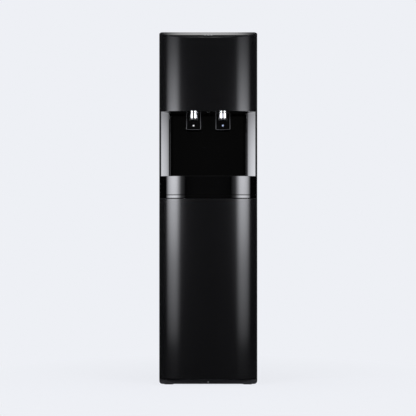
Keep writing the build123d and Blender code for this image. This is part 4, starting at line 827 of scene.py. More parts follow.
class CoolerTaps(bpy.types.PropertyGroup):
    """Sizes of the taps."""

    lever_depth: length("Lever depth", "Thickness of a paddle", 7.0)
    lever_drop: length("Lever drop", "Top of a paddle below the liner's top", 2.8)
    lever_corner: length("Lever corner", "Rounding of a lever's lower corners", 6.5)
    lever_edge: length("Lever edge", "Rounding of a lever's front edge", 1.6)
    lever_rim: length("Lever rim", "Width of the raised rim", 1.8)
    rim_height: length("Rim height", "Height of the raised rim", 0.8)
    pivot: length("Pivot", "Place of the levers' pins from front to rear", -58.5)
    pin: length("Pin", "Radius of a pivot's bore", 2.06)
    barrel: length("Barrel", "Radius of a pivot's barrel", 5.0)
    neck: length("Neck", "Half width of a lever's neck and barrel", 20.0)
    nozzle: length("Nozzle", "Radius of a nozzle", 14.25)
    nozzle_bore: length("Nozzle bore", "Radius of a nozzle's bore", 10.0)
    nozzle_edge: length("Nozzle edge", "Rounding of a nozzle's mouth", 0.8)
    tip_bore: length("Tip bore", "Radius of a tip's bore", 2.9)


class CoolerInside(bpy.types.PropertyGroup):
    """Sizes of the pieces inside the casework."""

    cartridge: length("Cartridge", "Height of a filter cartridge to its shoulder", 245.0)
    cartridge_radius: length("Cartridge radius", "Radius of a cartridge", 30.0)
    cartridge_slope: length("Cartridge slope", "Height of a cartridge's shoulder", 14.0)
    neck_radius: length("Neck radius", "Radius of a cartridge's neck", 19.2)
    grip: length("Grip", "Height of a cartridge's grip", 36.0)
    elbow: length("Elbow", "Size of an elbow in the water lines", 15.0)
    tube_radius: length("Tube radius", "Radius of the water lines", 3.175)
    seam_height: length("Seam height", "The compressor's seam over its plate", 54.0)
    copper_radius: length("Copper radius", "Radius of the copper pipes", 4.0)
    copper_bend: length("Copper bend", "Radius of the bends in the copper pipes", 14.0)
    capillary: length("Capillary", "Radius of the capillary", 1.6)
    drier_radius: length("Drier radius", "Radius of the drier", 9.0)
    hub_radius: length("Hub radius", "Radius of the fan's hub", 17.0)
    blades: IntProperty(name="Blades", description="Blades of the fan", default=5)
    blade_width: length("Blade width", "Width of a blade", 19.0)
    blade_wall: length("Blade wall", "Thickness and camber of a blade", 1.6)
    loom_radius: length("Loom radius", "Radius of the wiring's sleeve", 3.4)
    loom_bend: length("Loom bend", "Radius of the loom's bends", 10.0)


class CoolerStudio(bpy.types.PropertyGroup):
    """Camera, lights and surroundings."""

    camera_place: FloatVectorProperty(
        name="Camera place",
        description="Where the camera stands",
        default=(-0.0008, -4.8725, 0.5598),
        subtype="XYZ",
        unit="LENGTH",
    )
    lens: FloatProperty(name="Lens", description="Focal length in millimetres", default=129.8)
    backdrop: FloatVectorProperty(
        name="Backdrop",
        description="Colour of the backdrop",
        default=(0.855, 0.871, 0.913),
        subtype="COLOR",
    )
    tint: FloatVectorProperty(
        name="Tint",
        description="Colour of the soft lamps",
        default=(1.0, 1.01, 1.07),
        subtype="XYZ",
    )
    fill: FloatProperty(name="Fill", description="Strength of the all-round light", default=0.32)
    lamp_angle: angle("Lamp angle", "Turn of each soft lamp off the front", 43.0)
    lamp_reach: length("Lamp distance", "Distance of the lamps", 1600.0)
    lamp_width: length("Lamp width", "Width of a lamp", 1500.0)
    lamp_height: length("Lamp height", "Height of a lamp", 1600.0)
    lamp_middle: length("Lamp middle", "Level of a lamp's hot spot", 690.0)
    lamp_spill: FloatProperty(
        name="Lamp spill", description="Share of a lamp that lights nothing matt", default=0.6
    )
    lamp_power: FloatProperty(name="Lamp power", description="Radiance at a hot spot", default=13.9)
    right_share: FloatProperty(
        name="Right share", description="Power of the right lamp beside the left one", default=0.9
    )
    hood_reach: length("Hood reach", "Radius of the dark hood", 2600.0)
    hood_height: length("Hood height", "Height of the dark hood", 1750.0)
    card_size: length("Card size", "Width of the card that the cover mirrors", 900.0)
    card_fade: length("Card fade", "Width over which the card fades out", 400.0)
    card_glow: FloatProperty(name="Card glow", description="Radiance of the card", default=1.1)


# Casework


class Bow:
    """Plan of the bowed front, as arcs that run from the crown to a flank."""

    def __init__(self, sizes):
        self.steps = sizes.arc_steps
        self.corner = sizes.corner
        radius = (sizes.crown_half**2 + sizes.crown_drop**2) / (2 * sizes.crown_drop)
        self.crown_turn = asin(sizes.crown_half / radius)
        self.crown_centre = Vector((0.0, CROWN_Y + radius, 0.0))
        crown_end = Vector((sizes.crown_half, CROWN_Y + sizes.crown_drop, 0.0))
        flank_end = Vector((SIDE_X, FLANGE_Y - sizes.flank, 0.0))
        normal = Vector((sin(self.crown_turn), -cos(self.crown_turn), 0.0))
        run = crown_end - flank_end
        shoulder = run.length_squared / (2 * normal.dot(run))
        self.shoulder_centre = crown_end - normal * shoulder
        reach = (SIDE_X - self.shoulder_centre.x) / shoulder
        self.shoulder_turn = asin(min(1.0, reach)) - self.crown_turn

    def draw(self, bm, rear_y, level):
        """Add the plan, closed behind, as a face at a level."""
        rise = Vector((0, 0, level))
        vert = bm.verts.new((0, CROWN_Y, level))
        vert = carry_round(bm, vert, self.crown_centre + rise, self.crown_turn, self.steps)
        vert = carry_round(bm, vert, self.shoulder_centre + rise, self.shoulder_turn, self.steps)
        made = bmesh.ops.extrude_vert_indiv(bm, verts=[vert])["verts"][0]
        made.co = (SIDE_X, rear_y, level)
        vert.co.x = SIDE_X
        half = bm.verts[:] + bm.edges[:]
        bmesh.ops.mirror(bm, geom=half, matrix=NO_TURN, merge_dist=1e-6, axis="X")
        ends = [vert for vert in bm.verts if near(vert.co.y, rear_y)]
        bmesh.ops.contextual_create(bm, geom=ends)
        return bmesh.ops.contextual_create(bm, geom=bm.edges[:])["faces"][0]

    def solid(self, bottom, top, rear_y=MOULDING_Y):
        """Upright solid on the plan, with its front corners rounded."""
        bm = bmesh.new()
        face = self.draw(bm, rear_y, bottom)
        push(bm, [face], (0, 0, top - bottom))
        turn_outwards(bm)
        corners = [
            edge for edge in bm.edges
            if all(near(abs(v.co.x), SIDE_X) and v.co.y < rear_y - MM for v in edge.verts)
            and abs(edge.verts[0].co.z - edge.verts[1].co.z) > MM
        ]
        bevel(bm, corners, self.corner, 4)
        return bm


def round_moulding(bm, width, segments, way=0):
    """Round the upper or lower rim of a front moulding, or both, up to its back."""
    round_rims(bm, width, segments, "z", way, MOULDING_Y)


def open_back(bm):
    """Take away the faces in the rear plane of a front moulding."""
    rear = [face for face in bm.faces if lies_at(face, "y", MOULDING_Y)]
    bmesh.ops.delete(bm, geom=rear, context="FACES")


class COOLER_OT_front_panels(bpy.types.Operator):
    """Bowed service door, and the bowed panel over the bay"""

    bl_idname = "cooler.front_panels"
    bl_label = "Front panels"

    def execute(self, context):
        sizes = context.scene.cooler_casework
        bm = Bow(sizes).solid(low("service_door").z, high("service_door").z)
        round_moulding(bm, sizes.edge, 3)
        open_back(bm)
        add_piece("door_moulding", bm, "service_door", sizes.wall)

        bm = Bow(sizes).solid(BAY_TOP, TOP_Z)
        slope = Vector((0, -sin(sizes.slope), cos(sizes.slope)))
        edge_z = TOP_Z - sizes.cover_drop - sizes.cover_wall - sizes.cover_seam
        cut_above(bm, (0, CROWN_Y, edge_z), slope)
        turn_outwards(bm)
        round_moulding(bm, sizes.edge, 3, -1)
        round_moulding(bm, sizes.fine_edge, 2, 1)
        open_back(bm)
        add_piece("bay_panel_moulding", bm, "upper_front_panel", sizes.wall)
        return {"FINISHED"}


class COOLER_OT_top_cover(bpy.types.Operator):
    """Cap with a sloped front plate, rounded long edges and a skirt"""

    bl_idname = "cooler.top_cover"
    bl_label = "Top cover"

    def execute(self, context):
        sizes = context.scene.cooler_casework
        slope = Vector((0, -sin(sizes.slope), cos(sizes.slope)))
        crown = Vector((0, CROWN_Y, TOP_Z - sizes.cover_drop))
        bm = Bow(sizes).solid(high("left_side_panel").z + SEAM, TOP_Z, BACK_Y)
        cut_above(bm, crown, slope)
        self.round_long_edges(bm, sizes.cover_edge)
        turn_outwards(bm)
        round_rims(bm, sizes.edge, 2, "y", 1)
        bottom = [face for face in bm.faces if face.normal.z < -0.9]
        bmesh.ops.delete(bm, geom=bottom, context="FACES")
        under = crown - Vector((0, 0, sizes.cover_wall))
        split(bm, under, slope)
        split(bm, (0, FLANGE_Y, 0), (0, 1, 0))
        below = []
        for face in bm.faces:
            centre = face.calc_center_median()
            if centre.y < FLANGE_Y and slope.dot(centre - under) < 1e-6:
                below.append(face)
        bmesh.ops.delete(bm, geom=below, context="FACES")
        add_piece("cap_moulding", bm, "top_cover", sizes.cover_wall)
        self.lights(sizes, slope, crown)
        self.bay_lamp(sizes)
        return {"FINISHED"}

    @staticmethod
    def round_long_edges(bm, radius, cuts=8):
        """Shave the two long edges to an arc with planes that touch it."""
        for side in (-1, 1):
            centre = Vector((side * (SIDE_X - radius), 0, TOP_Z - radius))
            for i in range(cuts):
                turn = (i + 0.5) / cuts * pi / 2
                normal = Vector((side * cos(turn), 0, sin(turn)))
                cut_above(bm, centre + normal * radius, normal)

    @staticmethod
    def lights(sizes, slope, crown):
        """Three indicator lights let into the slope, the middle one wider."""
        height, sunk, half_d = 0.7 * MM, 0.5 * MM, 1.2 * MM
        back = Vector((0, 1, tan(sizes.slope))) * sizes.light_setback
        bm = bmesh.new()
        for i, half_w in ((-1, 2.5 * MM), (0, 3.6 * MM), (1, 2.5 * MM)):
            known = set(bm.verts)
            face = rounded_face(bm, (-half_w, -half_d, 0), (half_w, half_d, 0), 0.8 * MM, 4)
            face = push(bm, [face], (0, 0, height))[0]
            bevel(bm, face.edges[:], 0.3 * MM, 2)
            place = crown + back + Vector((i * sizes.light_pitch, 0, 0)) - slope * sunk
            matrix = Matrix.Translation(place) @ Matrix.Rotation(sizes.slope, 4, "X")
            bmesh.ops.transform(bm, matrix=matrix, verts=added(bm, known))
        turn_outwards(bm)
        add_piece("indicator_lenses", bm, "lamp_lenses")

    @staticmethod
    def bay_lamp(sizes):
        """Lens of the lamp in the bay's ceiling."""
        half, depth = 4 * MM, 6 * MM
        y = FLANGE_Y + sizes.lamp_setback
        ceiling = high("bay_liner").z
        bm = bmesh.new()
        face = rounded_face(bm, (-half, y - half, ceiling), (half, y + half, ceiling), 2 * MM, 5)
        face = push(bm, [face], (0, 0, -depth))[0]
        bevel(bm, face.edges[:], 1.2 * MM, 3)
        turn_outwards(bm)
        add_piece("bay_lamp_lens", bm, "lamp_lenses", kind="smoked_lens")


class COOLER_OT_side_panels(bpy.types.Operator):
    """Folded side panels, each with a front flange that narrows beside the bay"""

    bl_idname = "cooler.side_panels"
    bl_label = "Side panels"

    def execute(self, context):
        sizes = context.scene.cooler_casework
        for side, name in ((-1, "left"), (1, "right")):
            lowest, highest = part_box(name + "_side_panel")
            edge_x = side * SIDE_X
            inner_x = lowest.x if side > 0 else highest.x
            rear_x = edge_x - side * sizes.rear_flange
            bm = bmesh.new()
            chain(bm, [
                (inner_x, lowest.y, lowest.z),
                (edge_x, lowest.y, lowest.z),
                (edge_x, highest.y, lowest.z),
                (rear_x, highest.y, lowest.z),
            ])
            push_edges(bm, bm.edges[:], (0, 0, highest.z - lowest.z))
            folds = [edge for edge in edges_at(bm, "x", edge_x) if len(edge.link_faces) == 2]
            bevel(bm, folds, sizes.fold, 5)
            self.openings(bm, sizes, side)
            bmesh.ops.recalc_face_normals(bm, faces=bm.faces[:])
            flank = max(bm.faces, key=lambda face: face.calc_area())
            if flank.normal.x * side < 0:
                bmesh.ops.reverse_faces(bm, faces=bm.faces[:])
            add_piece(name + "_panel_sheet", bm, name + "_side_panel", sizes.sheet)
        return {"FINISHED"}

    @staticmethod
    def openings(bm, sizes, side):
        """The bay's notch and the clips' slots, in the front flange."""
        bay_top = high("bay_liner").z
        notch = (SIDE_X - 30 * MM, SIDE_X - sizes.pillar)
        spans = [(notch, (low("tray_deck").z - SEAM, bay_top + SEAM))]
        half_w, half_h = 3 * MM, 7.5 * MM
        clip_x = SIDE_X - sizes.clip_inset
        for level in (
            low("service_door").z + 60 * MM,
            high("service_door").z - 60 * MM,
            bay_top + 25 * MM,
            high("left_side_panel").z - 44.8 * MM,
        ):
            spans.append(((clip_x - half_w, clip_x + half_w), (level - half_h, level + half_h)))
        for across, (foot, head) in spans:
            near_x, far_x = sorted(side * x for x in across)
            knock_out(bm, (near_x, FLANGE_Y - MM, foot), (far_x, FLANGE_Y + MM, head))


class COOLER_OT_base(bpy.types.Operator):
    """Folded base with its plinth, its feet, and the screws of the casework"""

    bl_idname = "cooler.base"
    bl_label = "Base"

    def execute(self, context):
        sizes = context.scene.cooler_casework
        lowest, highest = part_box("base_pan")
        plinth_z = low("left_side_panel").z - SEAM
        bm = bmesh.new()
        face = rounded_face(
            bm,
            (-SIDE_X, lowest.z, -lowest.y),
            (SIDE_X, plinth_z, -lowest.y),
            sizes.cover_edge,
            rounded=lambda place: place.y < lowest.z + MM,
        )
        push(bm, [face], (0, 0, lowest.y - highest.y))
        stand_up(bm)
        turn_outwards(bm)
        roof = [face for face in bm.faces if face.normal.z > 0.9 and lies_at(face, "z", plinth_z)]
        bmesh.ops.delete(bm, geom=roof, context="FACES")
        round_rims(bm, 1.6 * MM, 4, "y", -1)
        self.upstands(bm, lowest, highest)
        # the plinth takes a paler copy of the steel paint: painted light
        add_piece("base_tray", bm, "base_pan", sizes.pan, kind="base_coat")
        self.feet(sizes.foot)
        self.screws(sizes)
        return {"FINISHED"}

    @staticmethod
    def upstands(bm, lowest, highest):
        """Flanges inside the side panels, facing out."""
        gap, rise, end = 1.4 * MM, 10 * MM, 24 * MM
        front_y, rear_y = FLANGE_Y + end, highest.y - end
        for side in (-1, 1):
            x = side * (highest.x - gap)
            face_on(bm, [
                (x, front_y, lowest.z + rise),
                (x, rear_y, lowest.z + rise),
                (x, rear_y, highest.z),
                (x, front_y, highest.z),
            ])
        bm.normal_update()
        for face in bm.faces:
            if abs(face.normal.x) > 0.9 and face.normal.x * face.calc_center_median().x < 0:
                face.normal_flip()

    @staticmethod
    def feet(width):
        """Round-cornered rubber pads."""
        lowest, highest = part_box("rubber_feet")
        bm = bmesh.new()
        for x in (lowest.x, highest.x - width):
            for y in (lowest.y, highest.y - width):
                face = rounded_face(bm, (x, y, lowest.z), (x + width, y + width, lowest.z), 8 * MM)
                push(bm, [face], (0, 0, highest.z - lowest.z))
        turn_outwards(bm)
        round_rims(bm, 0.8 * MM, 2, way=-1)
        add_piece("foot_pads", bm, "rubber_feet")

    @staticmethod
    def screws(sizes):
        """Pan-head screws with cross recesses."""
        lowest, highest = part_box("fasteners")
        bm = bmesh.new()
        x = SIDE_X - sizes.rear_flange / 2
        foot = low("rear_panel").z + sizes.screw_inset
        head = high("rear_panel").z - sizes.screw_inset
        for side in (-1, 1):
            for level in (foot, (foot + head) / 2, head):
                place = (side * x, BACK_Y, level)
                screw_head(bm, place, 4 * MM, highest.y - BACK_Y, BACKWARDS)
        screw_head(bm, (0, FLANGE_Y, 9.5 * MM), 2.2 * MM, FLANGE_Y - lowest.y, UPRIGHT)
        turn_outwards(bm)
        add_piece("casework_screws", bm, "fasteners")


def screw_head(bm, place, radius, height, matrix):
    """Domed head with a cross recess, proud of a place."""
    known = set(bm.verts)
    outer = ring_at(bm, (0, 0, height), radius * 0.55, 32)
    arm, slot = radius * 0.42, radius * 0.12
    quarter = [(slot, slot), (slot, arm), (-slot, arm)]
    turns = ((1, 0), (0, 1), (-1, 0), (0, -1))
    cross = loop_of(bm, [
        (x * c - y * s, x * s + y * c, height) for c, s in turns for x, y in quarter
    ])
    fill(bm, outer + cross)
    recess = push_edges(bm, cross, (0, 0, -height * 0.45))
    bmesh.ops.contextual_create(bm, geom=pick(recess, BMEdge))
    for reach, level in ((0.8, 0.86), (0.94, 0.55), (1.0, 0.2), (1.0, 0.0)):
        step = push_edges(bm, outer)
        for vert in pick(step, BMVert):
            vert.co.xy = vert.co.xy.normalized() * reach * radius
            vert.co.z = height * level
        outer = [edge for edge in pick(step, BMEdge) if len(edge.link_faces) == 1]
    matrix = Matrix.Translation(place) @ matrix
    bmesh.ops.transform(bm, matrix=matrix, verts=added(bm, known))


class COOLER_OT_rear(bpy.types.Operator):
    """Rear sheet with its vents and cut-outs, and the pads that keep it off a wall"""

    bl_idname = "cooler.rear"
    bl_label = "Rear"

    def execute(self, context):
        sizes = context.scene.cooler_casework
        lowest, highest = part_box("rear_panel")
        level = -highest.y
        bm = bmesh.new()
        edges = rounded_outline(
            bm, (lowest.x, lowest.z, level), (highest.x, highest.z, level), 2 * MM, 4
        )
        half_l, half_w = sizes.vent_length / 2, sizes.vent_width / 2
        foot_z = lowest.z - SEAM + 22 * MM
        head_z = highest.z + SEAM - 30 * MM
        for row in range(8):
            rise = row * sizes.vent_pitch
            for x, z in (
                (middle("compressor").x, foot_z + rise),
                (middle("fan_rotor").x, foot_z + rise),
                (0.0, head_z - rise),
            ):
                edges += opening(bm, (x, z, level), half_l, half_w, half_w * 0.98, 6)
        for node in ("power_inlet", "switch_housing"):
            half_z = (high(node).z - low(node).z) / 2 - 2 * MM
            place = (middle("power_inlet").x, middle(node).z, level)
            edges += opening(bm, place, 14.3 * MM, half_z, MM, 2)
        dial, drain = middle("thermostat_knob"), middle("drain_cap")
        inlet = Vector(WATER_ROUTES[0][0]) * MM
        for x, z, radius in (
            (dial.x, dial.z, 3.4 * MM),
            (drain.x, drain.z, 7 * MM),
            (inlet.x, inlet.z, 8 * MM),
        ):
            edges += ring_at(bm, (x, z, level), radius, 32)
        plate_from(bm, edges, (0, 0, highest.y - lowest.y))
        stand_up(bm)
        turn_outwards(bm)
        add_piece("rear_sheet", bm, "rear_panel")
        self.pads(sizes.pad_width, sizes.pad_height)
        return {"FINISHED"}

    @staticmethod
    def pads(width, tall):
        """Soft pads with rounded corners and faces."""
        lowest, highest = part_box("rear_bumpers")
        level = -highest.y
        bm = bmesh.new()
        for x in (lowest.x, highest.x - width):
            for z in (lowest.z, highest.z - tall):
                face = rounded_face(bm, (x, z, level), (x + width, z + tall, level), 5 * MM)
                push(bm, [face], (0, 0, highest.y - lowest.y))
        stand_up(bm)
        turn_outwards(bm)
        round_rims(bm, 2.4 * MM, 4, "y", 1)
        add_piece("wall_pads", bm, "rear_bumpers")


# Bay and drip tray


class COOLER_OT_bay(bpy.types.Operator):
    """Gloss liner of the dispensing bay and the deck under it"""

    bl_idname = "cooler.bay"
    bl_label = "Dispensing bay"

    def execute(self, context):
        self.liner(context.scene.cooler_bay)
        self.deck(context.scene.cooler_bay, context.scene.cooler_casework)
        return {"FINISHED"}

    @staticmethod
    def liner(sizes):
        """Walls with a flared mouth, and a ceiling with openings for the taps."""
        floor_z = low("bay_liner").z
        ceiling_z = high("bay_liner").z - sizes.wall
        middle_y = FLANGE_Y + (sizes.mouth - sizes.flare_middle) * tan(sizes.flare_angle)
        throat_y = FLANGE_Y + sizes.flare_depth
        half = [
            (sizes.mouth, FLANGE_Y),
            (sizes.flare_middle, middle_y),
            (sizes.throat, throat_y),
            (sizes.rear, FLANGE_Y + sizes.depth),
        ]
        bm = bmesh.new()
        face_on(bm, [(x, y, floor_z) for x, y in half + [(-x, y) for x, y in reversed(half)]])
        for x, y, reach, segments in (
            (sizes.flare_middle, middle_y, sizes.flare_round, 12),
            (sizes.throat, throat_y, sizes.corner, 8),
        ):
            corners = [vert for vert in bm.verts if near(abs(vert.co.x), x) and near(vert.co.y, y)]
            bevel(bm, corners, reach, segments, True)
        bmesh.ops.delete(bm, geom=bm.faces[:], context="FACES_ONLY")
        mouth = edges_at(bm, "y", FLANGE_Y)
        walls = [edge for edge in bm.edges if edge not in mouth]
        push_edges(bm, walls, (0, 0, ceiling_z - floor_z))
        bmesh.ops.delete(bm, geom=mouth, context="EDGES")
        edges = edges_at(bm, "z", ceiling_z)
        ends = [v for v in bm.verts if near(v.co.z, ceiling_z) and near(v.co.y, FLANGE_Y)]
        edges += bmesh.ops.contextual_create(bm, geom=ends)["edges"]
        # The slots leave room for the necks to swing
        slot_front = low("ambient_lever").y - 0.8 * MM
        slot_rear = low("ambient_lever").y + 11.1 * MM
        for node in ("ambient_lever", "cold_lever"):
            x = middle(node).x
            half_slot = (high(node).x - low(node).x) / 2 + MM
            edges += loop_of(bm, rectangle(
                (x - half_slot, slot_front, ceiling_z), (x + half_slot, slot_rear, ceiling_z)
            ))
            place = (x, middle("nozzles").y, ceiling_z)
            edges += ring_at(bm, place, sizes.nozzle_hole, 48)
        fill(bm, edges)
        turn_outwards(bm)
        if any(face.normal.z > 0.9 for face in bm.faces):
            bmesh.ops.reverse_faces(bm, faces=bm.faces[:])
        # darkened gloss: painted shade of the recess
        add_piece("bay_lining", bm, "bay_liner", sizes.wall, kind="bay_gloss")

    @staticmethod
    def deck(sizes, casework):
        """Bowed lip, the floor behind it with its rear wall, and the two side ledges."""
        bottom, top, rear = low("tray_deck").z, high("tray_deck").z, high("tray_deck").y
        bm = Bow(casework).solid(bottom, top)
        round_moulding(bm, casework.fine_edge, 2)
        narrow, wide = sizes.deck_half, 153.6 * MM
        under, floor = top - 3 * MM, top - 0.02 * MM
        box_into(bm, (-narrow, MOULDING_Y - MM, under), (narrow, FLANGE_Y + 2.4 * MM, floor))
        box_into(bm, (-wide, FLANGE_Y + 1.4 * MM, under), (wide, rear, floor))
        box_into(bm, (-wide, rear - 2 * MM, bottom), (wide, rear, floor))
        front, back = MOULDING_Y + 0.1 * MM, FLANGE_Y + 1.5 * MM
        for side in (-1, 1):
            first, last = sorted((side * 121 * MM, side * narrow))
            box_into(bm, (first, front, top - MM), (last, back, top + 2.2 * MM))
        # darkened gloss: painted shade of the recess
        add_piece("deck_moulding", bm, "tray_deck", kind="bay_gloss")


class COOLER_OT_drip_tray(bpy.types.Operator):
    """Drip tray: its bowed front, its basin and its grille"""

    bl_idname = "cooler.drip_tray"
    bl_label = "Drip tray"

    def execute(self, context):
        sizes = context.scene.cooler_bay
        self.front(sizes, context.scene.cooler_casework)
        self.basin(sizes)
        self.grille(sizes)
        return {"FINISHED"}

    @staticmethod
    def front(sizes, casework):
        """Bowed front, with its top cut out round the basin."""
        bottom, top = low("tray_fascia").z, high("tray_fascia").z
        lowest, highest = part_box("drip_tray")
        bm = Bow(casework).solid(bottom, top)
        round_moulding(bm, 0.5 * MM, 3, 1)
        round_moulding(bm, casework.fine_edge, 2, -1)
        open_back(bm)
        ends = [face for face in bm.faces if abs(face.normal.z) > 0.99]
        bmesh.ops.delete(bm, geom=ends, context="FACES_ONLY")
        known = set(bm.verts)
        rounded_outline(
            bm,
            (lowest.x, lowest.y, top),
            (highest.x, highest.y, top),
            sizes.basin_corner,
            12,
            lambda place: near(place.y, lowest.y),
        )
        verts = added(bm, known)
        split(bm, (0, MOULDING_Y, 0), (0, 1, 0), verts + touching(verts, BMEdge), True)
        edges = [edge for edge in bm.edges if edge.is_wire or lies_at(edge, "z", top, 1e-5)]
        for side in (-1, 1):
            rear = [vert for vert in bm.verts if near(vert.co.y, MOULDING_Y)]
            ends = [vert for vert in rear if near(vert.co.z, top, 1e-5) and vert.co.x * side > 0]
            edges += bmesh.ops.contextual_create(bm, geom=ends)["edges"]
        fill(bm, [edge for edge in edges if len(edge.link_faces) < 2])
        turn_outwards(bm)
        add_piece("tray_front", bm, "tray_fascia", casework.wall)

    @staticmethod
    def basin(sizes):
        """Basin on two skids, with a ledge inside its rim and rounded inner corners."""
        lowest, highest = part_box("drip_tray")
        base = lowest.z + sizes.skid
        floor = base + sizes.basin_wall
        bm = bmesh.new()
        face = rounded_face(
            bm,
            (lowest.x, lowest.y, base),
            (highest.x, highest.y, base),
            sizes.basin_corner,
            12,
            lambda place: near(place.y, lowest.y),
        )
        face = push(bm, [face], (0, 0, highest.z - base))[0]
        for width, depth in (
            (sizes.basin_wall, sizes.ledge_drop),
            (sizes.ledge, highest.z - floor - sizes.ledge_drop),
        ):
            inset(bm, face, width)
            face = push(bm, [face], (0, 0, -depth))[0]
        turn_outwards(bm)
        inner = [edge for edge in edges_at(bm, "z", floor) if len(edge.link_faces) == 2]
        bevel(bm, inner, 4 * MM, 4)
        bevel(bm, edges_at(bm, "z", highest.z), 0.6 * MM, 2)
        half_skid, end = 3 * MM, 25 * MM
        for x in (-highest.x / 2, highest.x / 2):
            box_into(
                bm,
                (x - half_skid, lowest.y + end, lowest.z),
                (x + half_skid, highest.y - end, base + 0.1 * MM),
            )
        add_piece("tray_basin", bm, "drip_tray")

    @staticmethod
    def grille(sizes):
        """Plate with two fields of round-ended slots."""
        lowest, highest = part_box("drip_grille")
        bm = bmesh.new()
        edges = rounded_outline(
            bm,
            lowest,
            (highest.x, highest.y, lowest.z),
            sizes.basin_corner - 2 * MM,
            10,
            lambda place: near(place.y, lowest.y),
        )
        half_l, half_w = sizes.slot_length / 2, sizes.slot_width / 2
        field_x = (sizes.slot_length + sizes.slot_bridge) / 2
        start = (lowest.y + highest.y) / 2 - 4 * sizes.slot_pitch
        for row in range(9):
            y = start + row * sizes.slot_pitch
            for x in (-field_x, field_x):
                edges += opening(bm, (x, y, lowest.z), half_l, half_w, half_w * 0.98, 6)
        plate_from(bm, edges, (0, 0, highest.z - lowest.z))
        add_piece("grille_plate", bm, "drip_grille", rounding=0.5 * MM)


# Taps


class COOLER_OT_taps(bpy.types.Operator):
    """Push levers with raised rims, bright nozzles and their black tips"""

    bl_idname = "cooler.taps"
    bl_label = "Taps"

    def execute(self, context):
        sizes = context.scene.cooler_taps
        for side in ("ambient", "cold"):
            self.lever(sizes, side)
            self.trim(sizes, side)
            self.marker(side)
        self.nozzles(sizes)
        return {"FINISHED"}

    @staticmethod
    def paddle(bm, sizes, side, edge=0.0, proud=0.0):
        """Front face of a paddle, or of what lies inside its edge, with its round foot."""
        lowest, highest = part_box(side + "_lever")
        top = high("bay_liner").z - sizes.lever_drop
        foot = (lowest.x + edge, lowest.y - proud, lowest.z + edge)
        head = (highest.x - edge, lowest.y - proud, top - edge)
        corner = sizes.lever_corner - edge
        return rounded_face(bm, foot, head, corner, 8, lambda place: near(place.z, foot[2]))

    def lever(self, sizes, side):
        """A lever with a rim round its recessed face, and its neck, barrel and arm."""
        node = side + "_lever"
        lowest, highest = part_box(node)
        bm = bmesh.new()
        push(bm, [self.paddle(bm, sizes, side)], (0, sizes.lever_depth, 0))
        turn_outwards(bm)
        bevel(bm, edges_at(bm, "y", lowest.y), sizes.lever_edge, 4)
        fronts = [face for face in bm.faces if face.normal.y < -0.99]
        plate = max(fronts, key=lambda face: face.calc_area())
        inset(bm, plate, sizes.lever_rim)
        inset(bm, plate, 0.5 * MM, -sizes.rim_height)
        x, neck = middle(node).x, sizes.neck
        pivot = Vector((x, sizes.pivot, highest.z - sizes.barrel))
        neck_z = high("bay_liner").z - sizes.lever_drop - 4 * MM
        box_into(
            bm,
            (x - neck, lowest.y + 3 * MM, neck_z),
            (x + neck, lowest.y + sizes.lever_depth, pivot.z),
        )
        arm = 6 * MM
        box_into(bm, (x - arm, pivot.y, highest.z - 4 * MM), (x + arm, highest.y, highest.z))
        barrel = sleeve(sizes.pin, sizes.barrel, -neck, neck)
        lathe_into(bm, barrel, pivot, 32, Matrix.Rotation(pi / 2, 4, "Y"))
        add_piece(side + "_paddle", bm, node)

    def trim(self, sizes, side):
        """Paler line round a lever's face, on top of its rim: a painted highlight of the rim's
        edges.
        """
        bm = bmesh.new()
        plate = self.paddle(bm, sizes, side, sizes.lever_edge, 0.15 * MM)
        bm.normal_update()
        inset(bm, plate, sizes.lever_rim * 0.7, lone=True)
        bmesh.ops.delete(bm, geom=[plate], context="FACES_ONLY")
        push(bm, bm.faces[:], (0, 0.5 * MM, 0))
        turn_outwards(bm)
        # the line is a painted highlight of the rim's edges
        name = side + "_paddle_trim"
        add_piece(name, bm, side + "_lever", rounding=0.1 * MM, kind="paddle_trim")

    @staticmethod
    def marker(side):
        """Round marker, slightly domed."""
        node = side + "_marker"
        lowest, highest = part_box(node)
        radius, depth = (highest.x - lowest.x) / 2, highest.y - lowest.y
        profile = [(0, 0), (radius, 0), (radius, depth * 0.7), (radius * 0.8, depth), (0, depth)]
        bm = bmesh.new()
        lathe_into(bm, profile, (middle(node).x, highest.y, middle(node).z), 48, UPRIGHT)
        turn_outwards(bm)
        add_piece(side + "_dot", bm, node)

    @staticmethod
    def nozzles(sizes):
        """Bright sleeves and their black tips."""
        lowest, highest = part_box("nozzles")
        tip_low, tip_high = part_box("nozzle_tips")
        radius, bore, edge = sizes.nozzle, sizes.nozzle_bore, sizes.nozzle_edge
        tip, tip_bore = (tip_high.y - tip_low.y) / 2, sizes.tip_bore
        sleeves = [
            (bore, lowest.z),
            (radius - edge, lowest.z),
            (radius - edge * 0.3, lowest.z + edge * 0.3),
            (radius, lowest.z + edge),
            (radius, highest.z),
            (bore, highest.z),
            (bore, lowest.z),
        ]
        tips = [
            (tip_bore, tip_low.z),
            (tip - 2 * MM, tip_low.z),
            (tip - 0.6 * MM, tip_low.z + 0.6 * MM),
            (tip, tip_low.z + 2 * MM),
            (tip, tip_high.z),
            (tip_bore, tip_high.z),
            (tip_bore, tip_low.z),
        ]
        tap_x = middle("cold_lever").x
        for name, node, profile in (
            ("nozzle_sleeves", "nozzles", sleeves),
            ("spout_tips", "nozzle_tips", tips),
        ):
            bm = bmesh.new()
            for x in (-tap_x, tap_x):
                lathe_into(bm, profile, (x, middle("nozzles").y, 0), 72)
            turn_outwards(bm)
            add_piece(name, bm, node)


# Pieces inside the casework and at its back


class COOLER_OT_brackets(bpy.types.Operator):
    """Folded brackets and rails, with soft edges"""

    bl_idname = "cooler.brackets"
    bl_label = "Brackets"

    def execute(self, context):
        soften("shelf_sheet", "tank_shelf", 0.25)
        soften("tap_plate", "tap_bracket", 0.25)
        soften("filter_rail", "filter_channel", 0.25)
        return {"FINISHED"}


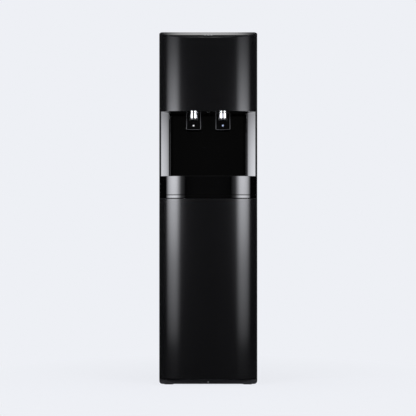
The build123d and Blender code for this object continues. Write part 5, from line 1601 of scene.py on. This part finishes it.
class COOLER_OT_filters(bpy.types.Operator):
    """Filter heads, and the two cartridges that twist into them"""

    bl_idname = "cooler.filters"
    bl_label = "Filters"

    def execute(self, context):
        soften("filter_head_blocks", "filter_heads", 0.8)
        for kind in ("sediment", "carbon"):
            self.cartridge(context.scene.cooler_inside, kind)
        return {"FINISHED"}

    @staticmethod
    def cartridge(sizes, kind):
        """Cartridge with a fluted grip, a grooved neck and two lugs."""
        node = kind + "_filter"
        x, y = middle(node).xy
        foot, head = low(node).z, high(node).z
        grip, shoulder = foot + sizes.grip, foot + sizes.cartridge
        slope = shoulder - sizes.cartridge_slope
        radius, neck = sizes.cartridge_radius, sizes.neck_radius
        waist, groove = radius - 1.5 * MM, neck - 1.5 * MM
        bm = bmesh.new()
        lathe_into(bm, [
            (0, foot + MM),
            (radius - 3 * MM, foot + MM),
            (waist, grip),
            (waist, grip + 2 * MM),
            (radius, grip + 3.5 * MM),
            (radius, slope),
            (neck, shoulder),
            (neck, head - 9 * MM),
            (groove, head - 9 * MM),
            (groove, head - 6.5 * MM),
            (neck, head - 6.5 * MM),
            (neck, head - 6 * MM),
            (0, head - 6 * MM),
        ], (x, y, 0), 72)
        bevel(bm, edges_at(bm, "z", slope) + edges_at(bm, "z", shoulder), 6 * MM, 5)
        fluted_into(bm, (x, y, foot), radius + 0.4 * MM, sizes.grip, 20, 1.6 * MM)
        half_x = 6 * MM
        for half_y, depth in ((neck - 1.4 * MM, 7 * MM), (neck + 3 * MM, 6 * MM)):
            box_into(bm, (x - half_x, y - half_y, head - depth), (x + half_x, y + half_y, head))
        turn_outwards(bm)
        add_piece(kind + "_cartridge_shell", bm, node, rounding=0.3 * MM, crease=50.0)


class COOLER_OT_water(bpy.types.Operator):
    """Fittings, valves, water lines and the drain's cap"""

    bl_idname = "cooler.water"
    bl_label = "Water lines"

    def execute(self, context):
        sizes = context.scene.cooler_inside
        soften("push_fittings", "water_fittings", 0.5)
        soften("valve_bodies", "solenoid_valves", 0.5)
        bm = bmesh.new()
        for route in WATER_ROUTES:
            self.tubes(bm, sizes, route)
        turn_outwards(bm)
        add_piece("tubing", bm, "water_lines")
        self.cap()
        return {"FINISHED"}

    @staticmethod
    def tubes(bm, sizes, route):
        """Straight tubes that end in the elbows of their route."""
        last = len(route) - 2
        for i, (start, end) in enumerate(zip(route, route[1:])):
            start, end = Vector(start), Vector(end)
            half_elbow = (end - start).normalized() * sizes.elbow / MM / 2
            if i > 0:
                start += half_elbow
            if i < last:
                end -= half_elbow
            pipe(bm, (start, end), sizes.tube_radius)

    @staticmethod
    def cap():
        """Fluted cap of the drain."""
        lowest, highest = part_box("drain_cap")
        place = middle("drain_cap")
        place.y = lowest.y
        radius, depth = (highest.z - lowest.z) / 2, highest.y - lowest.y
        bm = bmesh.new()
        fluted_into(bm, place, radius, depth, 14, 0.9 * MM, BACKWARDS)
        add_piece("drain_knob", bm, "drain_cap")


class COOLER_OT_cold_tank(bpy.types.Operator):
    """Cold tank inside its foam"""

    bl_idname = "cooler.cold_tank"
    bl_label = "Cold tank"

    def execute(self, context):
        soften("tank_shell", "cold_tank", 2.0, 50.0)
        soften("foam_block", "tank_jacket", 2.5)
        soften("foam_lid", "jacket_lid", 1.5)
        return {"FINISHED"}


class COOLER_OT_cooling(bpy.types.Operator):
    """Compressor, condenser, fan and their copper lines"""

    bl_idname = "cooler.cooling"
    bl_label = "Cooling system"

    def execute(self, context):
        sizes = context.scene.cooler_inside
        self.compressor(sizes)
        soften("rubber_mounts", "compressor_mounts", 1.0)
        soften("condenser_block", "condenser", 0.3)
        soften("fan_housing", "fan_frame", 0.6)
        self.rotor(sizes)
        self.copper(sizes)
        return {"FINISHED"}

    @staticmethod
    def compressor(sizes):
        """Two pressed shells with a welded seam, on a plate, with a cover over the terminals."""
        lowest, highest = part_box("compressor")
        x, y = middle("compressor").xy
        radius = (highest.x - lowest.x) / 2
        plate, top = lowest.z + 2.5 * MM, highest.z - 8 * MM
        lower_bend, upper_bend = plate + 12 * MM, top - 15 * MM
        seam, seam_radius = plate + sizes.seam_height, radius + 1.3 * MM
        bm = bmesh.new()
        lathe_into(bm, [
            (0, plate),
            (radius - 7 * MM, plate),
            (radius, lower_bend),
            (radius, seam - 3 * MM),
            (seam_radius, seam - 2.4 * MM),
            (seam_radius, seam + 2.4 * MM),
            (radius, seam + 3 * MM),
            (radius, upper_bend),
            (radius - 16 * MM, top - 1.5 * MM),
            (0, top),
        ], (x, y, 0), 96)
        for level in (lower_bend, upper_bend):
            bevel(bm, edges_at(bm, "z", level), 7 * MM, 5)
        reach = Vector((radius - 0.5 * MM, radius - 0.5 * MM, 0))
        foot = Vector((x, y, lowest.z))
        face = rounded_face(bm, foot - reach, foot + reach, 9 * MM)
        push(bm, [face], (0, 0, plate - lowest.z))
        for stub_x in (x - 28 * MM, x + 30 * MM):
            stub = (stub_x / MM, y / MM + 12)
            pipe(bm, ((*stub, top / MM - 12), (*stub, highest.z / MM)), 5 * MM)
        half, side_y = 17 * MM, y - radius
        box_into(
            bm,
            (x - half, side_y - 9 * MM, seam + 8 * MM),
            (x + half, side_y + 12 * MM, seam + 48 * MM),
        )
        turn_outwards(bm)
        add_piece("compressor_can", bm, "compressor", rounding=0.6 * MM)

    def rotor(self, sizes):
        """Round hub with twisted, curved blades."""
        lowest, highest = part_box("fan_rotor")
        hub, half = sizes.hub_radius, (highest.y - lowest.y) / 2
        bm = bmesh.new()
        profile = [(0, -half), (hub - 2 * MM, -half), (hub, -half + 2 * MM), (hub, half), (0, half)]
        lathe_into(bm, profile, (0, 0, 0), 48)
        for i in range(sizes.blades):
            self.blade(bm, sizes, (highest.x - lowest.x) / 2, 2 * pi * i / sizes.blades)
        matrix = Matrix.Translation(middle("fan_rotor")) @ BACKWARDS
        bmesh.ops.transform(bm, matrix=matrix, verts=bm.verts[:])
        turn_outwards(bm)
        add_piece("fan_blades", bm, "fan_rotor", crease=50.0)

    @staticmethod
    def blade(bm, sizes, tip, turn):
        """Blade that widens and flattens from its root inside the hub to its tip."""
        known, known_faces = set(bm.verts), set(bm.faces)
        root = sizes.hub_radius - 3 * MM
        bmesh.ops.create_grid(bm, x_segments=8, y_segments=8, size=0.5)
        for vert in added(bm, known):
            along = vert.co.y + 0.5
            across = vert.co.x * sizes.blade_width * (0.75 + 0.25 * sin(along * pi * 0.75))
            camber = sizes.blade_wall * (1 - (2 * vert.co.x) ** 2)
            pitch = radians(40.0 - 14.0 * along)
            vert.co = (
                across * cos(pitch) - camber * sin(pitch),
                root + along * (tip - root) - abs(across) * 0.18 * along,
                across * sin(pitch) + camber * cos(pitch),
            )
        faces = [face for face in bm.faces if face not in known_faces]
        bmesh.ops.solidify(bm, geom=faces, thickness=sizes.blade_wall)
        matrix = Matrix.Rotation(turn, 3, "Z")
        bmesh.ops.rotate(bm, cent=(0, 0, 0), matrix=matrix, verts=added(bm, known))

    @staticmethod
    def copper(sizes):
        """Bent suction and discharge pipes, the capillary and the spun drier."""
        bm = bmesh.new()
        for route in COPPER_ROUTES:
            pipe(bm, route, sizes.copper_radius, sizes.copper_bend)
        x, y, foot, head = DRIER
        pipe(bm, ((x, y, head - 1), (x, y, low("tank_jacket").z / MM)), sizes.capillary)
        x, y, foot, head = (value * MM for value in DRIER)
        radius, waist, stub = sizes.drier_radius, sizes.drier_radius - 4 * MM, 3 * MM
        lathe_into(bm, [
            (0, foot),
            (waist, foot),
            (radius, foot + 6 * MM),
            (radius, head - 14 * MM),
            (waist, head - 7 * MM),
            (stub, head - 4 * MM),
            (stub, head),
            (0, head),
        ], (x, y, 0), 48)
        level, half_y, half_z = (foot + head) / 2, 3 * MM, 5 * MM
        rear_x = low("condenser").x
        box_into(bm, (x, y - half_y, level - half_z), (rear_x, y + half_y, level + half_z))
        turn_outwards(bm)
        add_piece("copper_lines", bm, "refrigerant_lines", crease=50.0)


class COOLER_OT_electrics(bpy.types.Operator):
    """Control box and board, mains inlet, switch, thermostat and dial, loom and tap switches"""

    bl_idname = "cooler.electrics"
    bl_label = "Electrics"

    def execute(self, context):
        soften("control_tray", "control_box", 0.6)
        soften("board_assembly", "control_board", 0.3)
        soften("mains_inlet", "power_inlet", 0.3)
        soften("rocker_frame", "switch_housing", 0.3)
        soften("rocker_key", "cooling_switch", 0.3)
        soften("thermostat_body", "thermostat", 0.8)
        soften("micro_switches", "tap_switches", 0.4)
        soften("ambient_button", "ambient_plunger", 0.3)
        soften("cold_button", "cold_plunger", 0.3)
        self.dial()
        self.loom(context.scene.cooler_inside)
        return {"FINISHED"}

    @staticmethod
    def loom(sizes):
        """Sleeve of the wiring, with ties round its upright run."""
        bm = bmesh.new()
        pipe(bm, LOOM_ROUTE, sizes.loom_radius, sizes.loom_bend)
        x, y, foot = (value * MM for value in LOOM_ROUTE[0])
        pitch = (LOOM_ROUTE[1][2] * MM - foot) / 5.3
        half = 1.6 * MM
        tie = sleeve(sizes.loom_radius - 0.5 * MM, sizes.loom_radius + 0.6 * MM, -half, half)
        for i in range(5):
            lathe_into(bm, tie, (x, y, foot + pitch * (i + 0.5)), 24)
        turn_outwards(bm)
        add_piece("loom_sleeve", bm, "wiring_loom")

    @staticmethod
    def dial():
        """Bar knob on a round skirt, with its shaft."""
        lowest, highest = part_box("thermostat_knob")
        centre = middle("thermostat_knob")
        radius = (highest.x - lowest.x) / 2
        start = BACK_Y + 0.4 * MM
        shaft, skirt = 3 * MM, 3 * MM
        bm = bmesh.new()
        lathe_into(bm, [
            (0, lowest.y - start),
            (shaft, lowest.y - start),
            (shaft, 0),
            (radius, 0),
            (radius, 1.8 * MM),
            (radius - 1.2 * MM, skirt),
            (0, skirt),
        ], (0, 0, 0), 64)
        half_x, half_y = 2.6 * MM, radius - 0.8 * MM
        foot, head = (-half_x, -half_y, 2.5 * MM), (half_x, half_y, highest.y - start)
        bar = {edge for face in box_into(bm, foot, head) for edge in face.edges}
        rim = [edge for edge in bar if all(vert.co.z > skirt + 0.1 * MM for vert in edge.verts)]
        bevel(bm, rim, MM, 3)
        matrix = Matrix.Translation((centre.x, start, centre.z)) @ BACKWARDS
        bmesh.ops.transform(bm, matrix=matrix, verts=bm.verts[:])
        turn_outwards(bm)
        add_piece("dial_knob", bm, "thermostat_knob", rounding=0.2 * MM)


class COOLER_OT_finishes(bpy.types.Operator):
    """Give every piece that keeps the model's own shape its finish"""

    bl_idname = "cooler.finishes"
    bl_label = "Finishes"

    def execute(self, context):
        for name, piece in frame["nodes"].items():
            piece.data.materials.clear()
            piece.data.materials.append(finish_for(SLOT_OF[name]))
        return {"FINISHED"}


# Studio

# Rays that don't meet the dark screens and the card, which only reflections show
MIRRORED_ONLY = ("camera", "diffuse", "shadow", "transmission")
# Fading of a soft lamp over its cloth, from its foot up and from its inner edge outwards
LAMP_UPWARDS = [
    (0.0, 0.0), (0.064, 0.063), (0.171, 0.197), (0.279, 0.32), (0.359, 0.63), (0.44, 0.885),
    (0.5, 1.0), (0.574, 0.88), (0.628, 0.7), (0.66, 0.53), (0.688, 0.38), (0.763, 0.25),
    (0.816, 0.133), (0.871, 0.075), (1.0, 0.0),
]
LAMP_OUTWARDS = [
    (0.02, 0.0), (0.1, 0.06), (0.156, 0.17), (0.22, 0.36), (0.28, 0.55), (0.33, 0.75), (0.4, 0.93),
    (0.5, 1.0), (0.62, 0.97), (0.738, 0.84), (0.806, 0.68), (0.86, 0.54), (0.944, 0.2), (1.0, 0.04),
]
# Paleness of the hood and of the card from left to right
HOOD_ACROSS = [
    (0.1, 0.002), (0.3, 0.012), (0.42, 0.045), (0.58, 0.045), (0.7, 0.012), (0.9, 0.002),
]
CARD_ACROSS = [
    (0.06, 0.0), (0.08, 0.01), (0.1, 0.08), (0.118, 0.24), (0.137, 0.33), (0.156, 0.41),
    (0.19, 0.62), (0.23, 0.8), (0.36, 0.95), (0.5, 1.0), (0.64, 0.97), (0.76, 0.8), (0.83, 0.5),
    (0.863, 0.3), (0.9, 0.09), (0.935, 0.0),
]


def stage_piece(name, bm, finish, unmet=()):
    """Make a bmesh part of the stage, which rays of some kinds don't meet."""
    mesh = bpy.data.meshes.new(name)
    bm.to_mesh(mesh)
    bm.free()
    mesh.materials.append(finish.material)
    piece = bpy.data.objects.new(name, mesh)
    bpy.context.scene.collection.objects.link(piece)
    for ray in unmet:
        setattr(piece, "visible_" + ray, False)
    return piece


class COOLER_OT_studio(bpy.types.Operator):
    """Floor, backdrop, soft lamps, dark screens and camera"""

    bl_idname = "cooler.studio"
    bl_label = "Studio"

    def execute(self, context):
        scene = context.scene
        sizes = scene.cooler_studio
        self.world(scene, sizes)
        self.floor(sizes)
        for side in (-1, 1):
            self.lamp(sizes, side)
        self.screens(sizes)
        self.card(sizes)
        camera = bpy.data.cameras.new("camera")
        camera.lens = sizes.lens
        camera.sensor_width = 36.0
        holder = bpy.data.objects.new("camera", camera)
        holder.location = sizes.camera_place
        holder.rotation_euler = (pi / 2, 0, 0)
        scene.collection.objects.link(holder)
        scene.camera = holder
        scene.view_settings.view_transform = "Standard"
        return {"FINISHED"}

    @staticmethod
    def world(scene, sizes):
        """Pale surroundings that light the object gently."""
        world = bpy.data.worlds.new("surroundings")
        world.use_nodes = True
        nodes = Nodes(world.node_tree)
        seen, mirrored, through = (
            nodes.node("ShaderNodeLightPath", output=f"Is {kind} Ray")
            for kind in ("Camera", "Glossy", "Transmission")
        )
        full = seen.sum("MAXIMUM", mirrored.sum("MAXIMUM", through))
        level = {"Value": full, "To Min": sizes.fill, "To Max": 1.0}
        background = world.node_tree.nodes["Background"]
        nodes.put(background.inputs["Color"], (*sizes.backdrop, 1.0))
        nodes.put(background.inputs["Strength"], nodes.node("ShaderNodeMapRange", level))
        scene.world = world

    @staticmethod
    def floor(sizes):
        """Pale floor that keeps the object's shadow."""
        made = Finish("floor_paper", (0.6, 0.6, 0.6))
        made.set("Specular IOR Level", 0.0)
        pale = (*sizes.backdrop, 1.0)
        apart = made.node("ShaderNodeVectorMath", [made.place], "Value", operation="LENGTH")
        close = made.ramp(apart * 0.5, [(0.14, 1.0), (0.42, 0.0)])
        matt = made.node("ShaderNodeBsdfDiffuse", {"Color": (0.12, 0.12, 0.125, 1.0)})
        shadowed = made.node("ShaderNodeAddShader", [made.glow(pale, 0.9), matt])
        seen = made.mix(close, made.glow(pale, 1.0), shadowed)
        plain = made.node("ShaderNodeBsdfDiffuse", {"Color": (0.6, 0.61, 0.64, 1.0)})
        made.cover(made.mix(made.ray("Is Camera Ray"), plain, seen))
        bm = bmesh.new()
        bmesh.ops.create_grid(bm, x_segments=1, y_segments=1, size=60.0)
        stage_piece("floor", bm, made)

    @staticmethod
    def lamp(sizes, side):
        """Wide soft lamp to one side of the camera, brightest at its middle."""
        made = Finish("lamp_cloth")
        upright = made.ramp(made.along("Z") * (1 / sizes.lamp_height) + 0.5, LAMP_UPWARDS)
        sideways = made.ramp(made.along("X") * (side / sizes.lamp_width) + 0.5, LAMP_OUTWARDS)
        power = sizes.lamp_power * (sizes.right_share if side > 0 else 1.0)
        kept = 1 - made.ray("Is Diffuse Ray") * sizes.lamp_spill
        glow = made.glow((*sizes.tint, 1.0), upright * sideways * kept * power)
        clear = made.node("ShaderNodeBsdfTransparent")
        behind = made.node("ShaderNodeNewGeometry", output="Backfacing")
        made.cover(made.mix(behind, glow, clear))
        bm = bmesh.new()
        bmesh.ops.create_grid(bm, x_segments=1, y_segments=1, size=0.5, matrix=UPRIGHT)
        cloth = (sizes.lamp_width, 1, sizes.lamp_height)
        bmesh.ops.scale(bm, verts=bm.verts[:], vec=cloth)
        bmesh.ops.reverse_faces(bm, faces=bm.faces[:])
        name = "lamp_right" if side > 0 else "lamp_left"
        piece = stage_piece(name, bm, made, ("camera", "shadow"))
        turn, reach = side * sizes.lamp_angle, sizes.lamp_reach
        piece.location = (sin(turn) * reach, CROWN_Y - cos(turn) * reach, sizes.lamp_middle)
        piece.rotation_euler = (0, 0, turn)

    @staticmethod
    def screens(sizes):
        """Dark hood and ground cloth, dimmest at the sides, which only reflections show."""
        made = Finish("screen_cloth")
        across = made.along("X") * (0.5 / sizes.hood_reach) + 0.5
        made.cover(made.glow(made.ramp(across, HOOD_ACROSS), 1.0))
        centre, foot_z = Vector((0, -0.1, 0)), 3 * MM
        bm = bmesh.new()
        vert = bm.verts.new(centre + Vector((-sizes.hood_reach, 0, foot_z)))
        carry_round(bm, vert, centre, pi, 48)
        foot = bm.edges[:]
        for level, share in ((sizes.hood_height, 1.0), (foot_z, 0.04)):
            for vert in pick(push_edges(bm, foot), BMVert):
                flat = (vert.co - centre).xy.normalized() * sizes.hood_reach * share
                vert.co = (centre.x + flat.x, centre.y + flat.y, level)
        stage_piece("dark_hood", bm, made, MIRRORED_ONLY)

    @staticmethod
    def card(sizes):
        """Graded card above and behind, which the sloping top mirrors, palest at its middle."""
        made = Finish("card")
        across = made.along("X") * (1 / sizes.card_fade) + 0.5
        made.cover(made.glow(made.ramp(across, CARD_ACROSS), sizes.card_glow))
        place = Matrix.Translation((0, 0.6, 1.75)) @ UPRIGHT
        bm = bmesh.new()
        bmesh.ops.create_grid(
            bm, x_segments=1, y_segments=1, size=sizes.card_size / 2, matrix=place
        )
        stage_piece("card", bm, made, MIRRORED_ONLY)


class COOLER_PT_sidebar(bpy.types.Panel):
    """Lists the cooler's pieces and its studio"""

    bl_idname = "COOLER_PT_sidebar"
    bl_label = "Water cooler"
    bl_space_type = "VIEW_3D"
    bl_region_type = "UI"
    bl_category = "Cooler"

    def draw(self, context):
        for step in STEPS:
            self.layout.operator(step.bl_idname)


GROUPS = (
    ("cooler_casework", CoolerCasework),
    ("cooler_bay", CoolerBay),
    ("cooler_taps", CoolerTaps),
    ("cooler_inside", CoolerInside),
    ("cooler_studio", CoolerStudio),
)
STEPS = (
    COOLER_OT_studio,
    COOLER_OT_finishes,
    COOLER_OT_front_panels,
    COOLER_OT_top_cover,
    COOLER_OT_side_panels,
    COOLER_OT_base,
    COOLER_OT_rear,
    COOLER_OT_bay,
    COOLER_OT_drip_tray,
    COOLER_OT_taps,
    COOLER_OT_brackets,
    COOLER_OT_filters,
    COOLER_OT_water,
    COOLER_OT_cold_tank,
    COOLER_OT_cooling,
    COOLER_OT_electrics,
)


def register():
    """Register the property groups, the operators and the panel."""
    for name, group in GROUPS:
        bpy.utils.register_class(group)
        setattr(bpy.types.Scene, name, PointerProperty(type=group))
    for step in STEPS:
        bpy.utils.register_class(step)
    bpy.utils.register_class(COOLER_PT_sidebar)


def unregister():
    """Take everything back out, in the reverse order."""
    bpy.utils.unregister_class(COOLER_PT_sidebar)
    for step in reversed(STEPS):
        bpy.utils.unregister_class(step)
    for name, group in reversed(GROUPS):
        delattr(bpy.types.Scene, name)
        bpy.utils.unregister_class(group)


def main():
    """Build the whole scene."""
    register()
    for step in STEPS:
        area, action = step.bl_idname.split(".")
        getattr(getattr(bpy.ops, area), action)()


if __name__ == "__main__":
    main()
